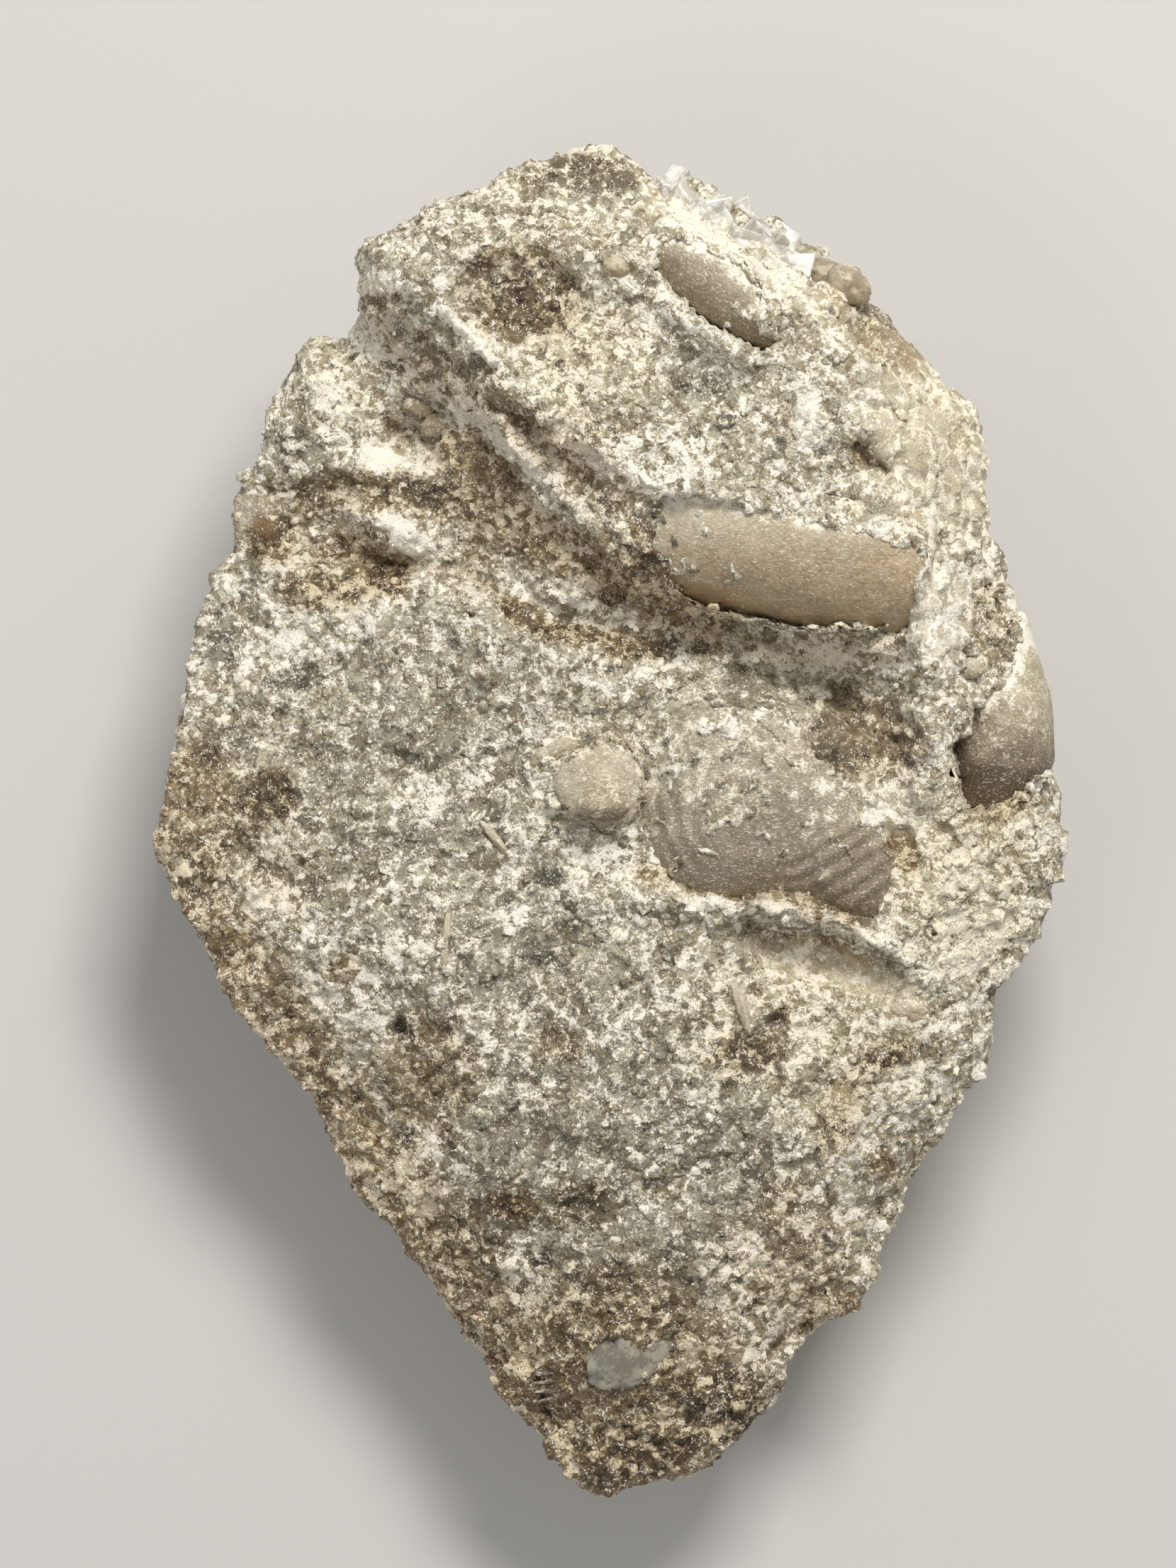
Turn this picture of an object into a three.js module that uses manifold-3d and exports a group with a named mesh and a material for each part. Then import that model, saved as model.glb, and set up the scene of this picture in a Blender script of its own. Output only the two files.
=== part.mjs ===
// A hand specimen of shelly limestone, lying on its flat broken underside with the fossil face up.
// It is one stone: the trilobite's ribbed tail shield, the smooth pieces of its head border and the
// calcite crystals on one edge all grew together with the rock, so they are joined in one solid.
// Units are millimetres. +Z is up, +X and +Y span the fossil face, and the origin is at the middle
// of the bounding box in X and Y, on the surface that the stone rests on.
import * as THREE from "three";
import Module from "manifold-3d";
import { ImprovedNoise } from "three/addons/math/ImprovedNoise.js";
import { mergeVertices } from "three/addons/utils/BufferGeometryUtils.js";

const wasm = await Module();
wasm.setup();

// ---- driving dimensions ----
const stoneLength = 80; // along Y
const stoneWidth = 53.8; // along X
const beddingTurn = -44; // degrees; the cliff and most ledges run this way, and so do the face's facets
const facetLength = 1.5; // along the ledges
const facetWidth = 1.1; // across them
const cliffRun = 3.9; // the cliff falls to 1/e of its height over this distance
const rimRounding = 2.2; // height over which the face bends down to the rim
const seatDepth = 5; // how far the cutting block reaches below the underside

// The raised block behind the cliff and the broad face in front of it are shallow bowls turned over:
// each is highest at its middle and falls by the square of the distance, in millimetres per mm2.
const raisedBlock = { height: 22.8, middle: [4, 20], fall: { left: 0.006, right: 0.012, behind: 0.0145 } };
const broadFace = { height: 17.2, middle: [4, -4], fall: { across: 0.0052, along: 0.0044 } };

// Rise and fall of the broken face: how high and how wide its unevenness is.
const roughness = [
  { height: 0.9, width: 9, layer: 0.4 },
  { height: 0.65, width: 3.6, layer: 5.1 },
  { height: 0.45, width: 1.9, layer: 9.7 },
];

// ---- small helpers ----
const radians = THREE.MathUtils.degToRad;
const clamp01 = (t) => Math.min(1, Math.max(0, t));
const smooth = (t) => clamp01(t) ** 2 * (3 - 2 * clamp01(t));
const perlin = new ImprovedNoise();
const noise = (x, y, size, layer) => perlin.noise(x / size + 31.7, y / size + 12.3, layer);

// The smaller of two heights, with their meeting rounded over a height k.
function softMin(a, b, k) {
  const h = clamp01(0.5 + (0.5 * (b - a)) / k);
  return b + (a - b) * h - k * h * (1 - h);
}

// ---- the outline seen from above, clockwise from the top corner ----
const outline = [
  [-0.6, 40.0], [0.4, 39.7], [3.2, 37.3], [6.2, 36.3], [7.3, 35.4], [10.0, 34.6], [11.0, 34.6],
  [10.9, 34.0], [12.2, 33.0], [14.8, 32.3], [15.3, 31.2], [15.0, 30.6], [16.0, 30.1], [17.2, 28.9],
  [19.2, 26.7], [19.8, 25.5], [20.8, 25.2], [21.7, 24.3], [22.5, 20.4], [22.0, 19.7], [22.4, 18.3],
  [22.1, 16.7], [23.7, 15.2], [23.5, 14.3], [26.1, 4.6], [26.2, 3.0], [26.9, 1.2], [26.5, 0.2],
  [26.9, -1.4], [26.0, -5.6], [23.4, -9.6], [22.6, -11.3], [22.7, -12.8], [22.4, -13.9], [17.6, -22.0],
  [15.8, -26.0], [15.6, -27.4], [14.6, -28.8], [12.0, -30.0], [10.4, -32.6], [10.1, -34.1], [6.8, -37.2],
  [5.0, -38.6], [3.0, -38.9], [-0.3, -40.0], [-1.2, -39.5], [-5.9, -33.9], [-10.6, -26.6], [-12.6, -23.9],
  [-14.4, -22.2], [-16.4, -17.8], [-17.8, -15.6], [-21.4, -11.2], [-26.7, -1.9], [-24.0, 12.4], [-23.1, 14.8],
  [-22.0, 16.4], [-21.9, 18.8], [-21.3, 20.4], [-20.3, 21.6], [-19.7, 24.0], [-18.4, 27.2], [-17.6, 28.4],
  [-16.8, 28.5], [-15.3, 28.1], [-14.3, 30.0], [-14.4, 32.0], [-14.8, 33.3], [-14.3, 34.1], [-12.6, 34.6],
  [-10.4, 36.0], [-4.2, 38.6], [-3.0, 38.7],
];

// Height of the rim and the slope of the face just inside it, at bearings in degrees from +X.
const rimStations = [
  { bearing: -180, height: 12.6, slope: 0.8 },
  { bearing: -155, height: 12.4, slope: 0.62 },
  { bearing: -125, height: 11.2, slope: 0.7 },
  { bearing: -105, height: 10.6, slope: 0.7 },
  { bearing: -90, height: 10.2, slope: 0.7 },
  { bearing: -71, height: 10.4, slope: 0.75 },
  { bearing: -55, height: 11.4, slope: 0.85 },
  { bearing: -30, height: 12.6, slope: 0.8 },
  { bearing: 0, height: 13.2, slope: 0.9 },
  { bearing: 25, height: 14.0, slope: 1.0 },
  { bearing: 45, height: 15.2, slope: 1.15 },
  { bearing: 66, height: 14.2, slope: 2.2 },
  { bearing: 80, height: 16.8, slope: 1.3 },
  { bearing: 96, height: 17.8, slope: 1.1 },
  { bearing: 111, height: 17.6, slope: 1.9 },
  { bearing: 118, height: 13.0, slope: 1.5 },
  { bearing: 130, height: 13.6, slope: 1.0 },
  { bearing: 152, height: 13.0, slope: 0.9 },
  { bearing: 180, height: 12.6, slope: 0.8 },
];

function rimAt(x, y) {
  const bearing = THREE.MathUtils.radToDeg(Math.atan2(y, x));
  const after = Math.max(1, rimStations.findIndex((station) => station.bearing >= bearing));
  const [low, high] = [rimStations[after - 1], rimStations[after]];
  const t = smooth((bearing - low.bearing) / (high.bearing - low.bearing));
  return {
    height: low.height + (high.height - low.height) * t,
    slope: low.slope + (high.slope - low.slope) * t,
  };
}

// Distance to a line of points, and +1 or -1 for its left or right side.
function nearestOn(line, x, y) {
  let best = { distance: Infinity, side: 1 };
  for (let i = 0; i + 1 < line.length; i++) {
    const [ax, ay] = line[i];
    const [dx, dy] = [line[i + 1][0] - ax, line[i + 1][1] - ay];
    const t = clamp01(((x - ax) * dx + (y - ay) * dy) / (dx * dx + dy * dy));
    const distance = Math.hypot(x - ax - t * dx, y - ay - t * dy);
    if (distance < best.distance) best = { distance, side: dx * (y - ay) - dy * (x - ax) > 0 ? 1 : -1 };
  }
  return best;
}

// Distance to the outline, positive inside it.
function insideBy(x, y) {
  let inside = false;
  for (let i = 0, j = outline.length - 1; i < outline.length; j = i++) {
    const [[ax, ay], [bx, by]] = [outline[i], outline[j]];
    if (ay > y !== by > y && x < ax + ((bx - ax) * (y - ay)) / (by - ay)) inside = !inside;
  }
  const { distance } = nearestOn([...outline, outline[0]], x, y);
  return inside ? distance : -distance;
}

// ---- what stands up from the face or sinks into it ----
// The crest of the cliff: the raised block lies on its left, going down the list.
const cliffCrest = [
  [-20.0, 33.6], [-14.6, 31.8], [-12.4, 31.2], [-9.8, 29.6], [-7.6, 27.4], [-6.0, 25.6], [-4.4, 24.0],
  [-1.6, 22.2], [0.6, 20.2], [2.6, 18.8], [5.6, 18.2], [11.0, 17.4], [17.2, 16.2], [18.9, 12.0],
  [21.4, 6.6], [27.0, 2.4],
];

// Each ledge has a crest line, a steep face on the right of it and a gentle back on the left.
const ledges = [
  { name: "second rib of the cliff", rise: 1.4, face: 1.6, back: 1.3,
    line: [[-8.4, 24.7], [-4.3, 21.3], [-1.0, 18.4], [1.6, 16.4]] },
  { name: "arc over the upper hollow", rise: 1.3, face: 1.0, back: 4.0,
    line: [[-11.6, 31.3], [-8.0, 32.8], [-5.0, 33.7], [-2.4, 33.0], [-0.6, 31.7], [1.6, 31.0], [3.3, 31.6]] },
  { name: "ledge below the upper border piece", rise: 1.0, face: 0.7, back: 2.6,
    line: [[10.2, 27.3], [6.6, 29.0], [3.6, 31.0]] },
  { name: "ridge inside the crystals", rise: 1.5, face: 1.1, back: 3.0,
    line: [[19.8, 24.4], [16.2, 28.2], [12.0, 31.0], [8.0, 33.1], [3.4, 35.3]] },
  { name: "shelf of the white scoop", rise: 1.3, face: 0.8, back: 1.6,
    line: [[-15.2, 20.8], [-12.8, 20.1], [-10.4, 20.3], [-8.6, 21.3]] },
  { name: "striated shelf", rise: 1.1, face: 0.8, back: 1.7,
    line: [[-14.6, 18.2], [-12.3, 16.4], [-10.4, 16.0]] },
  { name: "upper edge of the broad face", rise: 1.1, face: 0.9, back: 5.0,
    line: [
      [2.6, 9.8], [-2.0, 10.2], [-4.2, 11.2], [-6.4, 13.3], [-9.5, 14.5], [-13.5, 14.0], [-17.5, 15.2],
    ] },
  { name: "lip below the tail shield", rise: 1.3, face: 0.9, back: 1.3,
    line: [
      [20.6, -9.8], [18.6, -8.0], [15.6, -6.2], [12.4, -5.0], [8.4, -4.5], [4.6, -4.3], [0.8, -4.6],
      [-2.6, -4.0],
    ] },
  { name: "right wall of the recess", rise: 2.2, face: 1.0, back: 3.6,
    line: [[18.9, 12.6], [18.5, 8.5], [18.6, 5.5], [18.2, 3.2]] },
  { name: "ledge round the edge piece", rise: 0.9, face: 0.7, back: 1.9,
    line: [[26.2, 0.6], [24.4, -0.1], [22.0, -0.2], [20.4, 1.1], [19.9, 3.0], [20.4, 5.2], [21.8, 7.2]] },
  { name: "step near the lower tip", rise: 1.3, face: 1.2, back: 3.2,
    line: [[8.4, -35.4], [8.6, -31.6], [10.4, -29.6], [14.0, -28.4]] },
];

const grooves = [
  { name: "foot of the cliff", depth: 1.3, width: 1.2,
    line: [[-18.5, 17.6], [-12.6, 15.3], [-7.2, 15.0], [-3.6, 12.6], [0.5, 11.5], [5.0, 10.8], [9.5, 10.2]] },
  { name: "groove behind the second rib", depth: 0.9, width: 0.8,
    line: [[-6.4, 24.4], [-3.4, 21.9], [-1.2, 20.0]] },
  { name: "sunken shell edge on the right", depth: 0.8, width: 0.55,
    line: [[14.0, 22.6], [15.4, 21.4], [17.0, 19.9]] },
];

// Swells have a positive rise and hollows a negative one. half holds half the length and half the width.
const swells = [
  { name: "left terrace", at: [-18.0, 23.6], half: [7.5, 6.0], turn: 60, rise: 3.0 },
  { name: "right shoulder", at: [20.0, -2.4], half: [9.0, 7.0], turn: 80, rise: 0.9 },
  { name: "lump near the lower tip", at: [12.6, -26.4], half: [5.0, 3.6], turn: 20, rise: 1.3 },
  { name: "small boss", at: [-1.0, -21.0], half: [1.9, 1.7], turn: 0, rise: 0.7 },
  { name: "upper hollow", at: [-4.5, 30.4], half: [6.4, 3.6], turn: 4, rise: -1.4 },
  { name: "middle hollow", at: [5.6, 25.6], half: [5.0, 3.6], turn: -20, rise: -0.7 },
  { name: "recess beside the tail shield", at: [14.2, 7.2], half: [5.6, 3.8], turn: -12, rise: -2.4 },
  { name: "undercut of the large border piece", at: [9.6, 11.2], half: [7.0, 2.2], turn: -6, rise: -1.5 },
  { name: "hollow left of the scoop", at: [-16.6, 18.9], half: [5.2, 2.0], turn: -6, rise: -1.2 },
  { name: "pocket behind the scoop", at: [-10.4, 23.8], half: [3.0, 2.4], turn: -30, rise: -1.1 },
  { name: "pale scoop", at: [-12.4, 21.9], half: [3.0, 1.7], turn: -10, rise: -0.8 },
  { name: "rock over the large piece's end", at: [3.4, 15.4], half: [4.2, 2.4], turn: -44, rise: 2.2 },
];

function raisedBlockHeight(x, y) {
  const { height, middle, fall } = raisedBlock;
  const sideways = x > middle[0] ? fall.right : fall.left;
  return height - fall.behind * Math.max(0, y - middle[1]) ** 2 - sideways * (x - middle[0]) ** 2;
}

function broadFaceHeight(x, y) {
  const { height, middle, fall } = broadFace;
  return height - fall.along * (y - middle[1]) ** 2 - fall.across * (x - middle[0]) ** 2;
}

// The height of the fossil face at a point, before the fossils are added.
function faceHeight(x, y) {
  const cliff = nearestOn(cliffCrest, x, y);
  const raised = cliff.side > 0 ? 1 : Math.exp(-cliff.distance / cliffRun);
  let height = THREE.MathUtils.lerp(broadFaceHeight(x, y), raisedBlockHeight(x, y), raised);

  for (const ledge of ledges) {
    const { distance, side } = nearestOn(ledge.line, x, y);
    height += ledge.rise * (1 - smooth(distance / (side > 0 ? ledge.back : ledge.face)));
  }
  for (const groove of grooves) {
    height -= groove.depth * Math.exp(-((nearestOn(groove.line, x, y).distance / groove.width) ** 2));
  }
  for (const swell of swells) {
    const [dx, dy, turn] = [x - swell.at[0], y - swell.at[1], radians(swell.turn)];
    const along = (dx * Math.cos(turn) + dy * Math.sin(turn)) / swell.half[0];
    const across = (dy * Math.cos(turn) - dx * Math.sin(turn)) / swell.half[1];
    height += swell.rise * Math.max(0, 1 - along * along - across * across) ** 1.5;
  }
  for (const rough of roughness) height += rough.height * noise(x, y, rough.width, rough.layer);

  const rim = rimAt(x, y);
  return softMin(height, rim.height + rim.slope * insideBy(x, y), rimRounding);
}

// ---- three.js shapes to manifold solids and back ----
function solidOf(geometry, matrix = new THREE.Matrix4()) {
  const bare = geometry.clone().applyMatrix4(matrix);
  bare.deleteAttribute("normal");
  bare.deleteAttribute("uv");
  const merged = mergeVertices(bare, 1e-4);
  return new wasm.Manifold(
    new wasm.Mesh({
      numProp: 3,
      vertProperties: merged.attributes.position.array,
      triVerts: new Uint32Array(merged.index.array),
    }),
  );
}

function placed(geometry, position, turns = [0, 0, 0], scale = [1, 1, 1]) {
  const turn = new THREE.Quaternion().setFromEuler(new THREE.Euler(...turns.map(radians), "ZYX"));
  const [at, size] = [new THREE.Vector3(...position), new THREE.Vector3(...scale)];
  return solidOf(geometry, new THREE.Matrix4().compose(at, turn, size));
}

// ---- the stone's body: rings from above the face down to the flat underside ----
// share is of the rim's height, inset is how far the side has sloped in, and calm is how much of the
// outline's unevenness is gone.
const sideRings = [
  { share: 1, lift: 40, inset: 0, calm: 0 },
  { share: 1, lift: -1.6, inset: 0, calm: 0 },
  { share: 0.7, lift: 0, inset: 1.0, calm: 0.6 },
  { share: 0.4, lift: 0, inset: 2.8, calm: 0.9 },
  { share: 0.12, lift: 0, inset: 5.2, calm: 1 },
  { share: 0, lift: 0, inset: 7.4, calm: 1 },
];
const calmSpan = 3; // outline points on each side that a calm ring is averaged over
const insetUnevenness = 0.7;
const ringWave = 0.45; // how far a ring rises and falls, as a share of its height

function calmPoint(index) {
  let [x, y] = [0, 0];
  for (let k = -calmSpan; k <= calmSpan; k++) {
    const [px, py] = outline.at((index + k + outline.length) % outline.length);
    x += px / (2 * calmSpan + 1);
    y += py / (2 * calmSpan + 1);
  }
  return [x, y];
}

function stoneBody() {
  const last = sideRings.length - 1;
  const body = new THREE.CylinderGeometry(1, 1, last, outline.length, last);
  const position = body.attributes.position;
  for (let i = 0; i < position.count; i++) {
    const ring = sideRings[Math.round(last / 2 - position.getY(i))];
    const [sx, sz] = [position.getX(i), position.getZ(i)];
    if (Math.hypot(sx, sz) < 0.5) {
      position.setXYZ(i, 0, 0, ring.share * broadFace.height + ring.lift);
      continue;
    }
    const turnShare = Math.atan2(sx, sz) / (2 * Math.PI);
    // The cylinder's points run anticlockwise and the outline's clockwise.
    const index = Math.round((1 - turnShare) * outline.length) % outline.length;
    const [ox, oy] = outline[index];
    const [cx, cy] = calmPoint(index);
    const x = ox + (cx - ox) * ring.calm;
    const y = oy + (cy - oy) * ring.calm;
    const reach = Math.hypot(x, y);
    const inset = ring.inset * (1 + insetUnevenness * noise(x, y, 14, ring.share));
    const keep = 1 - inset / reach;
    const wave = ring.share < 1 ? 1 + ringWave * noise(x, y, 13, 7 + ring.share) : 1;
    const height = ring.share * wave * rimAt(ox, oy).height + ring.lift;
    position.setXYZ(i, x * keep, y * keep, height);
  }
  return solidOf(body);
}

// The face's height averaged round a point, so that a step between two facets stays even.
function evenHeight(x, y) {
  const reach = 0.28 * facetLength;
  const corners = [[1, 1], [1, -1], [-1, 1], [-1, -1]];
  const sum = corners.reduce((total, [sx, sy]) => total + faceHeight(x + sx * reach, y + sy * reach), 0);
  return sum / corners.length;
}

// A block whose top is the fossil face, wider than the stone and turned in line with the ledges.
function faceBlock() {
  const side = Math.hypot(stoneWidth, stoneLength);
  const block = new THREE.BoxGeometry(
    side, side, 2, Math.round(side / facetLength), Math.round(side / facetWidth), 1,
  );
  block.rotateZ(radians(beddingTurn));
  const position = block.attributes.position;
  for (let i = 0; i < position.count; i++) {
    const [x, y] = [position.getX(i), position.getY(i)];
    position.setZ(i, position.getZ(i) > 0 ? evenHeight(x, y) : -seatDepth);
  }
  foldAlongLedges(block);
  return solidOf(block);
}

// Each cell of a box is two triangles, a b d and b c d. Where a and c are the nearer in height,
// the fold between the triangles is turned to run from a to c, along the ledge instead of across it.
function foldAlongLedges(block) {
  const corners = block.index.array;
  const height = (i) => block.attributes.position.getZ(i);
  for (let cell = 0; cell < corners.length; cell += 6) {
    const [a, b, d, , c] = corners.slice(cell, cell + 6);
    if (Math.abs(height(a) - height(c)) < Math.abs(height(b) - height(d))) {
      corners.set([a, b, c, a, c, d], cell);
    }
  }
}

// ---- the fossils ----
// The tail shield is a low dome with rounded ribs that follow its edge at both ends of its length.
// Its rows of points are spaced evenly from the middle out, so that each rib gets a few of them.
const tailShield = {
  at: [9.8, 1.3], turn: -34, half: [9.0, 6.3], rise: 3.9, foot: 15.5, keel: 2,
  ribs: 4, ribFrom: 0.44, ribDepth: 0.24,
  segments: 52, rows: 26, topRows: 22,
};

function tailShieldSolid() {
  const s = tailShield;
  const dome = new THREE.SphereGeometry(1, s.segments, s.rows);
  const position = dome.attributes.position;
  for (let i = 0; i < position.count; i++) {
    const bearing = (2 * Math.PI * (i % (s.segments + 1))) / s.segments;
    const row = Math.floor(i / (s.segments + 1));
    const onTop = row <= s.topRows;
    const out = onTop ? row / s.topRows : (s.rows - row) / (s.rows - s.topRows);
    const inRibs = smooth((out - s.ribFrom) * 9) * (1 - smooth((out - 0.9) * 10));
    const towardsEnds = smooth(1.5 * Math.abs(Math.cos(bearing)) - 0.35);
    const rib = Math.sin((2 * Math.PI * s.ribs * (out - s.ribFrom)) / (1 - s.ribFrom));
    const top = s.rise * Math.sqrt(1 - out * out) + s.ribDepth * rib * inRibs * towardsEnds;
    const height = onTop ? top : -s.keel * (1 - out * out);
    position.setXYZ(i, Math.cos(bearing) * out * s.half[0], Math.sin(bearing) * out * s.half[1], height);
  }
  return placed(dome, [s.at[0], s.at[1], s.foot], [0, 0, s.turn]);
}

// Smooth pieces of the head border: rods with round ends, lying along the face.
const borderPieces = [
  { name: "large piece", from: [6.6, 15.6, 18.7], to: [14.6, 14.3, 18.4], radius: 3.5 },
  { name: "upper piece", from: [4.8, 32.2, 20.2], to: [8.5, 29.2, 20.5], radius: 1.7 },
];

function borderPieceSolid({ from, to, radius }) {
  const [a, b] = [new THREE.Vector3(...from), new THREE.Vector3(...to)];
  const rod = new THREE.CapsuleGeometry(radius, a.distanceTo(b), 6, 22);
  const along = b.clone().sub(a).normalize();
  const turn = new THREE.Quaternion().setFromUnitVectors(new THREE.Vector3(0, 1, 0), along);
  const middle = a.clone().add(b).multiplyScalar(0.5);
  return solidOf(rod, new THREE.Matrix4().compose(middle, turn, new THREE.Vector3(1, 1, 1)));
}

// Smooth swellings: a broken border piece at the right edge and a small lens in the middle.
const swellings = [
  { name: "edge piece", at: [23.2, 4.1, 13.4], half: [3.0, 4.1, 3.4], turn: 12 },
  { name: "small lens", at: [-0.4, 1.9, 16.6], half: [2.3, 1.5, 1.6], turn: 28 },
];

// A smooth trough left by another border piece, cut into the face below the lip.
const trough = { at: [13.2, -8.3, 18.2], half: [6.3, 2.2, 2.6], turn: -17 };

// Clear calcite crystals in a row outside the upper right ridge.
const crystals = [
  { at: [4.4, 35.9, 16.4], size: 1.7, turns: [20, 10, 30], stretch: [1.5, 1, 0.9] },
  { at: [6.7, 34.9, 16.2], size: 1.8, turns: [-15, 25, 10], stretch: [1.3, 0.9, 1] },
  { at: [9.0, 33.8, 15.8], size: 1.7, turns: [35, 5, 50], stretch: [1.4, 0.9, 1] },
  { at: [10.4, 34.0, 15.4], size: 0.95, turns: [10, 40, 25], stretch: [1.3, 0.9, 1] },
  { at: [11.4, 32.4, 15.6], size: 1.7, turns: [-20, -10, 40], stretch: [1.4, 0.9, 0.9] },
  { at: [13.6, 31.4, 15.3], size: 1.7, turns: [10, 20, -15], stretch: [1.2, 0.95, 1] },
];

// ---- put together ----
let stone = stoneBody().intersect(faceBlock());
stone = stone.add(tailShieldSolid().intersect(stoneBody()));
for (const piece of borderPieces) stone = stone.add(borderPieceSolid(piece));
for (const { at, half, turn } of swellings) {
  stone = stone.add(placed(new THREE.SphereGeometry(1, 20, 12), at, [0, 0, turn], half));
}
for (const { at, size, turns, stretch } of crystals) {
  stone = stone.add(placed(new THREE.DodecahedronGeometry(size, 0), at, turns, stretch));
}
const troughShape = new THREE.SphereGeometry(1, 26, 14);
stone = stone.subtract(placed(troughShape, trough.at, [0, 0, trough.turn], trough.half));

// The mesh of a solid, as flat-faceted three.js geometry.
function geometryOf(solid) {
  const { numProp, vertProperties, triVerts, numVert } = solid.getMesh();
  const points = new Float32Array(numVert * 3);
  for (let i = 0; i < numVert; i++) points.set(vertProperties.subarray(i * numProp, i * numProp + 3), i * 3);
  const geometry = new THREE.BufferGeometry();
  geometry.setAttribute("position", new THREE.BufferAttribute(points, 3));
  geometry.setIndex(new THREE.BufferAttribute(triVerts, 1));
  geometry.computeVertexNormals();
  return geometry;
}

const limestone = new THREE.MeshStandardMaterial({
  color: 0xb3a793,
  roughness: 0.75,
  metalness: 0,
  flatShading: true,
});
const fossilStone = new THREE.Mesh(geometryOf(stone), limestone);
fossilStone.name = "fossil_stone";

const trilobiteFossil = new THREE.Group();
trilobiteFossil.name = "trilobite_fossil";
trilobiteFossil.add(fossilStone);

export default trilobiteFossil;
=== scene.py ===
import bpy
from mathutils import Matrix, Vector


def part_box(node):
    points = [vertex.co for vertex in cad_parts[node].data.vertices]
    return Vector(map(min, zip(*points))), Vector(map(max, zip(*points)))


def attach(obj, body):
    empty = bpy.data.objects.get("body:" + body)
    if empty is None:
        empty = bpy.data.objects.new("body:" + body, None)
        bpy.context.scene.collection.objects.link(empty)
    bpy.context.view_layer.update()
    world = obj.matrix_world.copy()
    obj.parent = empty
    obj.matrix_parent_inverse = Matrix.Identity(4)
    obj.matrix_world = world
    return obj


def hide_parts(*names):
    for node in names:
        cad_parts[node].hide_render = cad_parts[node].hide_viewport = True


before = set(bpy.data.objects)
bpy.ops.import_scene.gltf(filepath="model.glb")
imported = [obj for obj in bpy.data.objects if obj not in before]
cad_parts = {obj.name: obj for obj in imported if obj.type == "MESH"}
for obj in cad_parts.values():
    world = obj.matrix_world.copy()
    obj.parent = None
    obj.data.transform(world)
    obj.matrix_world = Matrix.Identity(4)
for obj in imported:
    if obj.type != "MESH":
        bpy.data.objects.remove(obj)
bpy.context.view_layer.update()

from types import SimpleNamespace

import bmesh
import bpy
import numpy as np
from mathutils import Euler, Matrix, Vector, noise
from mathutils.bvhtree import BVHTree

noise.seed_set(4)  # without it, the noise starts from the clock and differs each run

mm = 0.001  # the tables below are in millimetres, and Blender is in metres
tiny = 1e-9  # keeps a division from failing
stoneNode = "fossil_stone"
stoneLow, stoneHigh = (np.array(corner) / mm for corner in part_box(stoneNode))
faceHeight = 8  # above this, what looks up is the fossil face
skyHeight = 60  # above everything, where rays that look down start


def paint(red, green, blue):  # a colour as it looks on a screen, 0 to 255
    values = np.array((red, green, blue)) / 255
    return (*np.where(values < 0.04, values / 12.92, ((values + 0.055) / 1.055) ** 2.4), 1)


viewSetup = {
    "middle": (-1.04, 2.25),  # what the camera looks straight down on
    "length": 92.17,  # of the view, along Y
    "height": 1000,  # camera above the floor
    "focusHeight": 14,  # the rim's height, where the view has that length
    "sensor": 36,
    "clip": (0.01, 20),  # in metres
}

lightSetup = {
    "key": {"at": (120, 341, 430), "size": (220, 150), "power": 2.75, "colour": (1.0, 0.98, 0.95)},
    "fill": {"at": (-300, -200, 420), "size": (300, 300), "power": 0.4, "colour": (0.95, 0.97, 1.0)},
    "world": {"colour": (1.0, 0.98, 0.95), "strength": 0.36},
}


def addCamera(setup):
    data = bpy.data.cameras.new("camera")
    data.sensor_width = setup["sensor"]
    distance = setup["height"] - setup["focusHeight"]
    data.lens = setup["sensor"] * distance / setup["length"]
    data.clip_start, data.clip_end = setup["clip"]
    camera = bpy.data.objects.new("camera", data)
    camera.location = Vector((*setup["middle"], setup["height"])) * mm
    bpy.context.scene.collection.objects.link(camera)
    bpy.context.scene.camera = camera


def addLights(setup, target):
    for name in ("key", "fill"):
        light = setup[name]
        data = bpy.data.lights.new(name, "AREA")
        data.shape = "RECTANGLE"
        data.size, data.size_y = (side * mm for side in light["size"])
        data.energy = light["power"]
        data.color = light["colour"]
        lamp = bpy.data.objects.new(name, data)
        lamp.location = Vector(light["at"]) * mm
        lamp.rotation_euler = (lamp.location - target).to_track_quat("Z", "Y").to_euler()
        bpy.context.scene.collection.objects.link(lamp)
    world = bpy.data.worlds.new("softRoom")
    world.use_nodes = True
    background = world.node_tree.nodes["Background"]
    background.inputs["Color"].default_value = (*setup["world"]["colour"], 1)
    background.inputs["Strength"].default_value = setup["world"]["strength"]
    bpy.context.scene.world = world


class Wire:  # a node's output socket, with the sums that the materials use
    def __init__(self, graph, socket):
        self.graph = graph
        self.socket = socket

    def sum(self, operation, first, second):
        return self.graph.node("Math", {"operation": operation}, {0: first, 1: second})

    def __add__(self, other):
        return self.sum("ADD", self, other)

    def __radd__(self, other):
        return self.sum("ADD", other, self)

    def __sub__(self, other):
        return self.sum("SUBTRACT", self, other)

    def __rsub__(self, other):
        return self.sum("SUBTRACT", other, self)

    def __mul__(self, other):
        return self.sum("MULTIPLY", self, other)

    def __rmul__(self, other):
        return self.sum("MULTIPLY", other, self)


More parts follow.
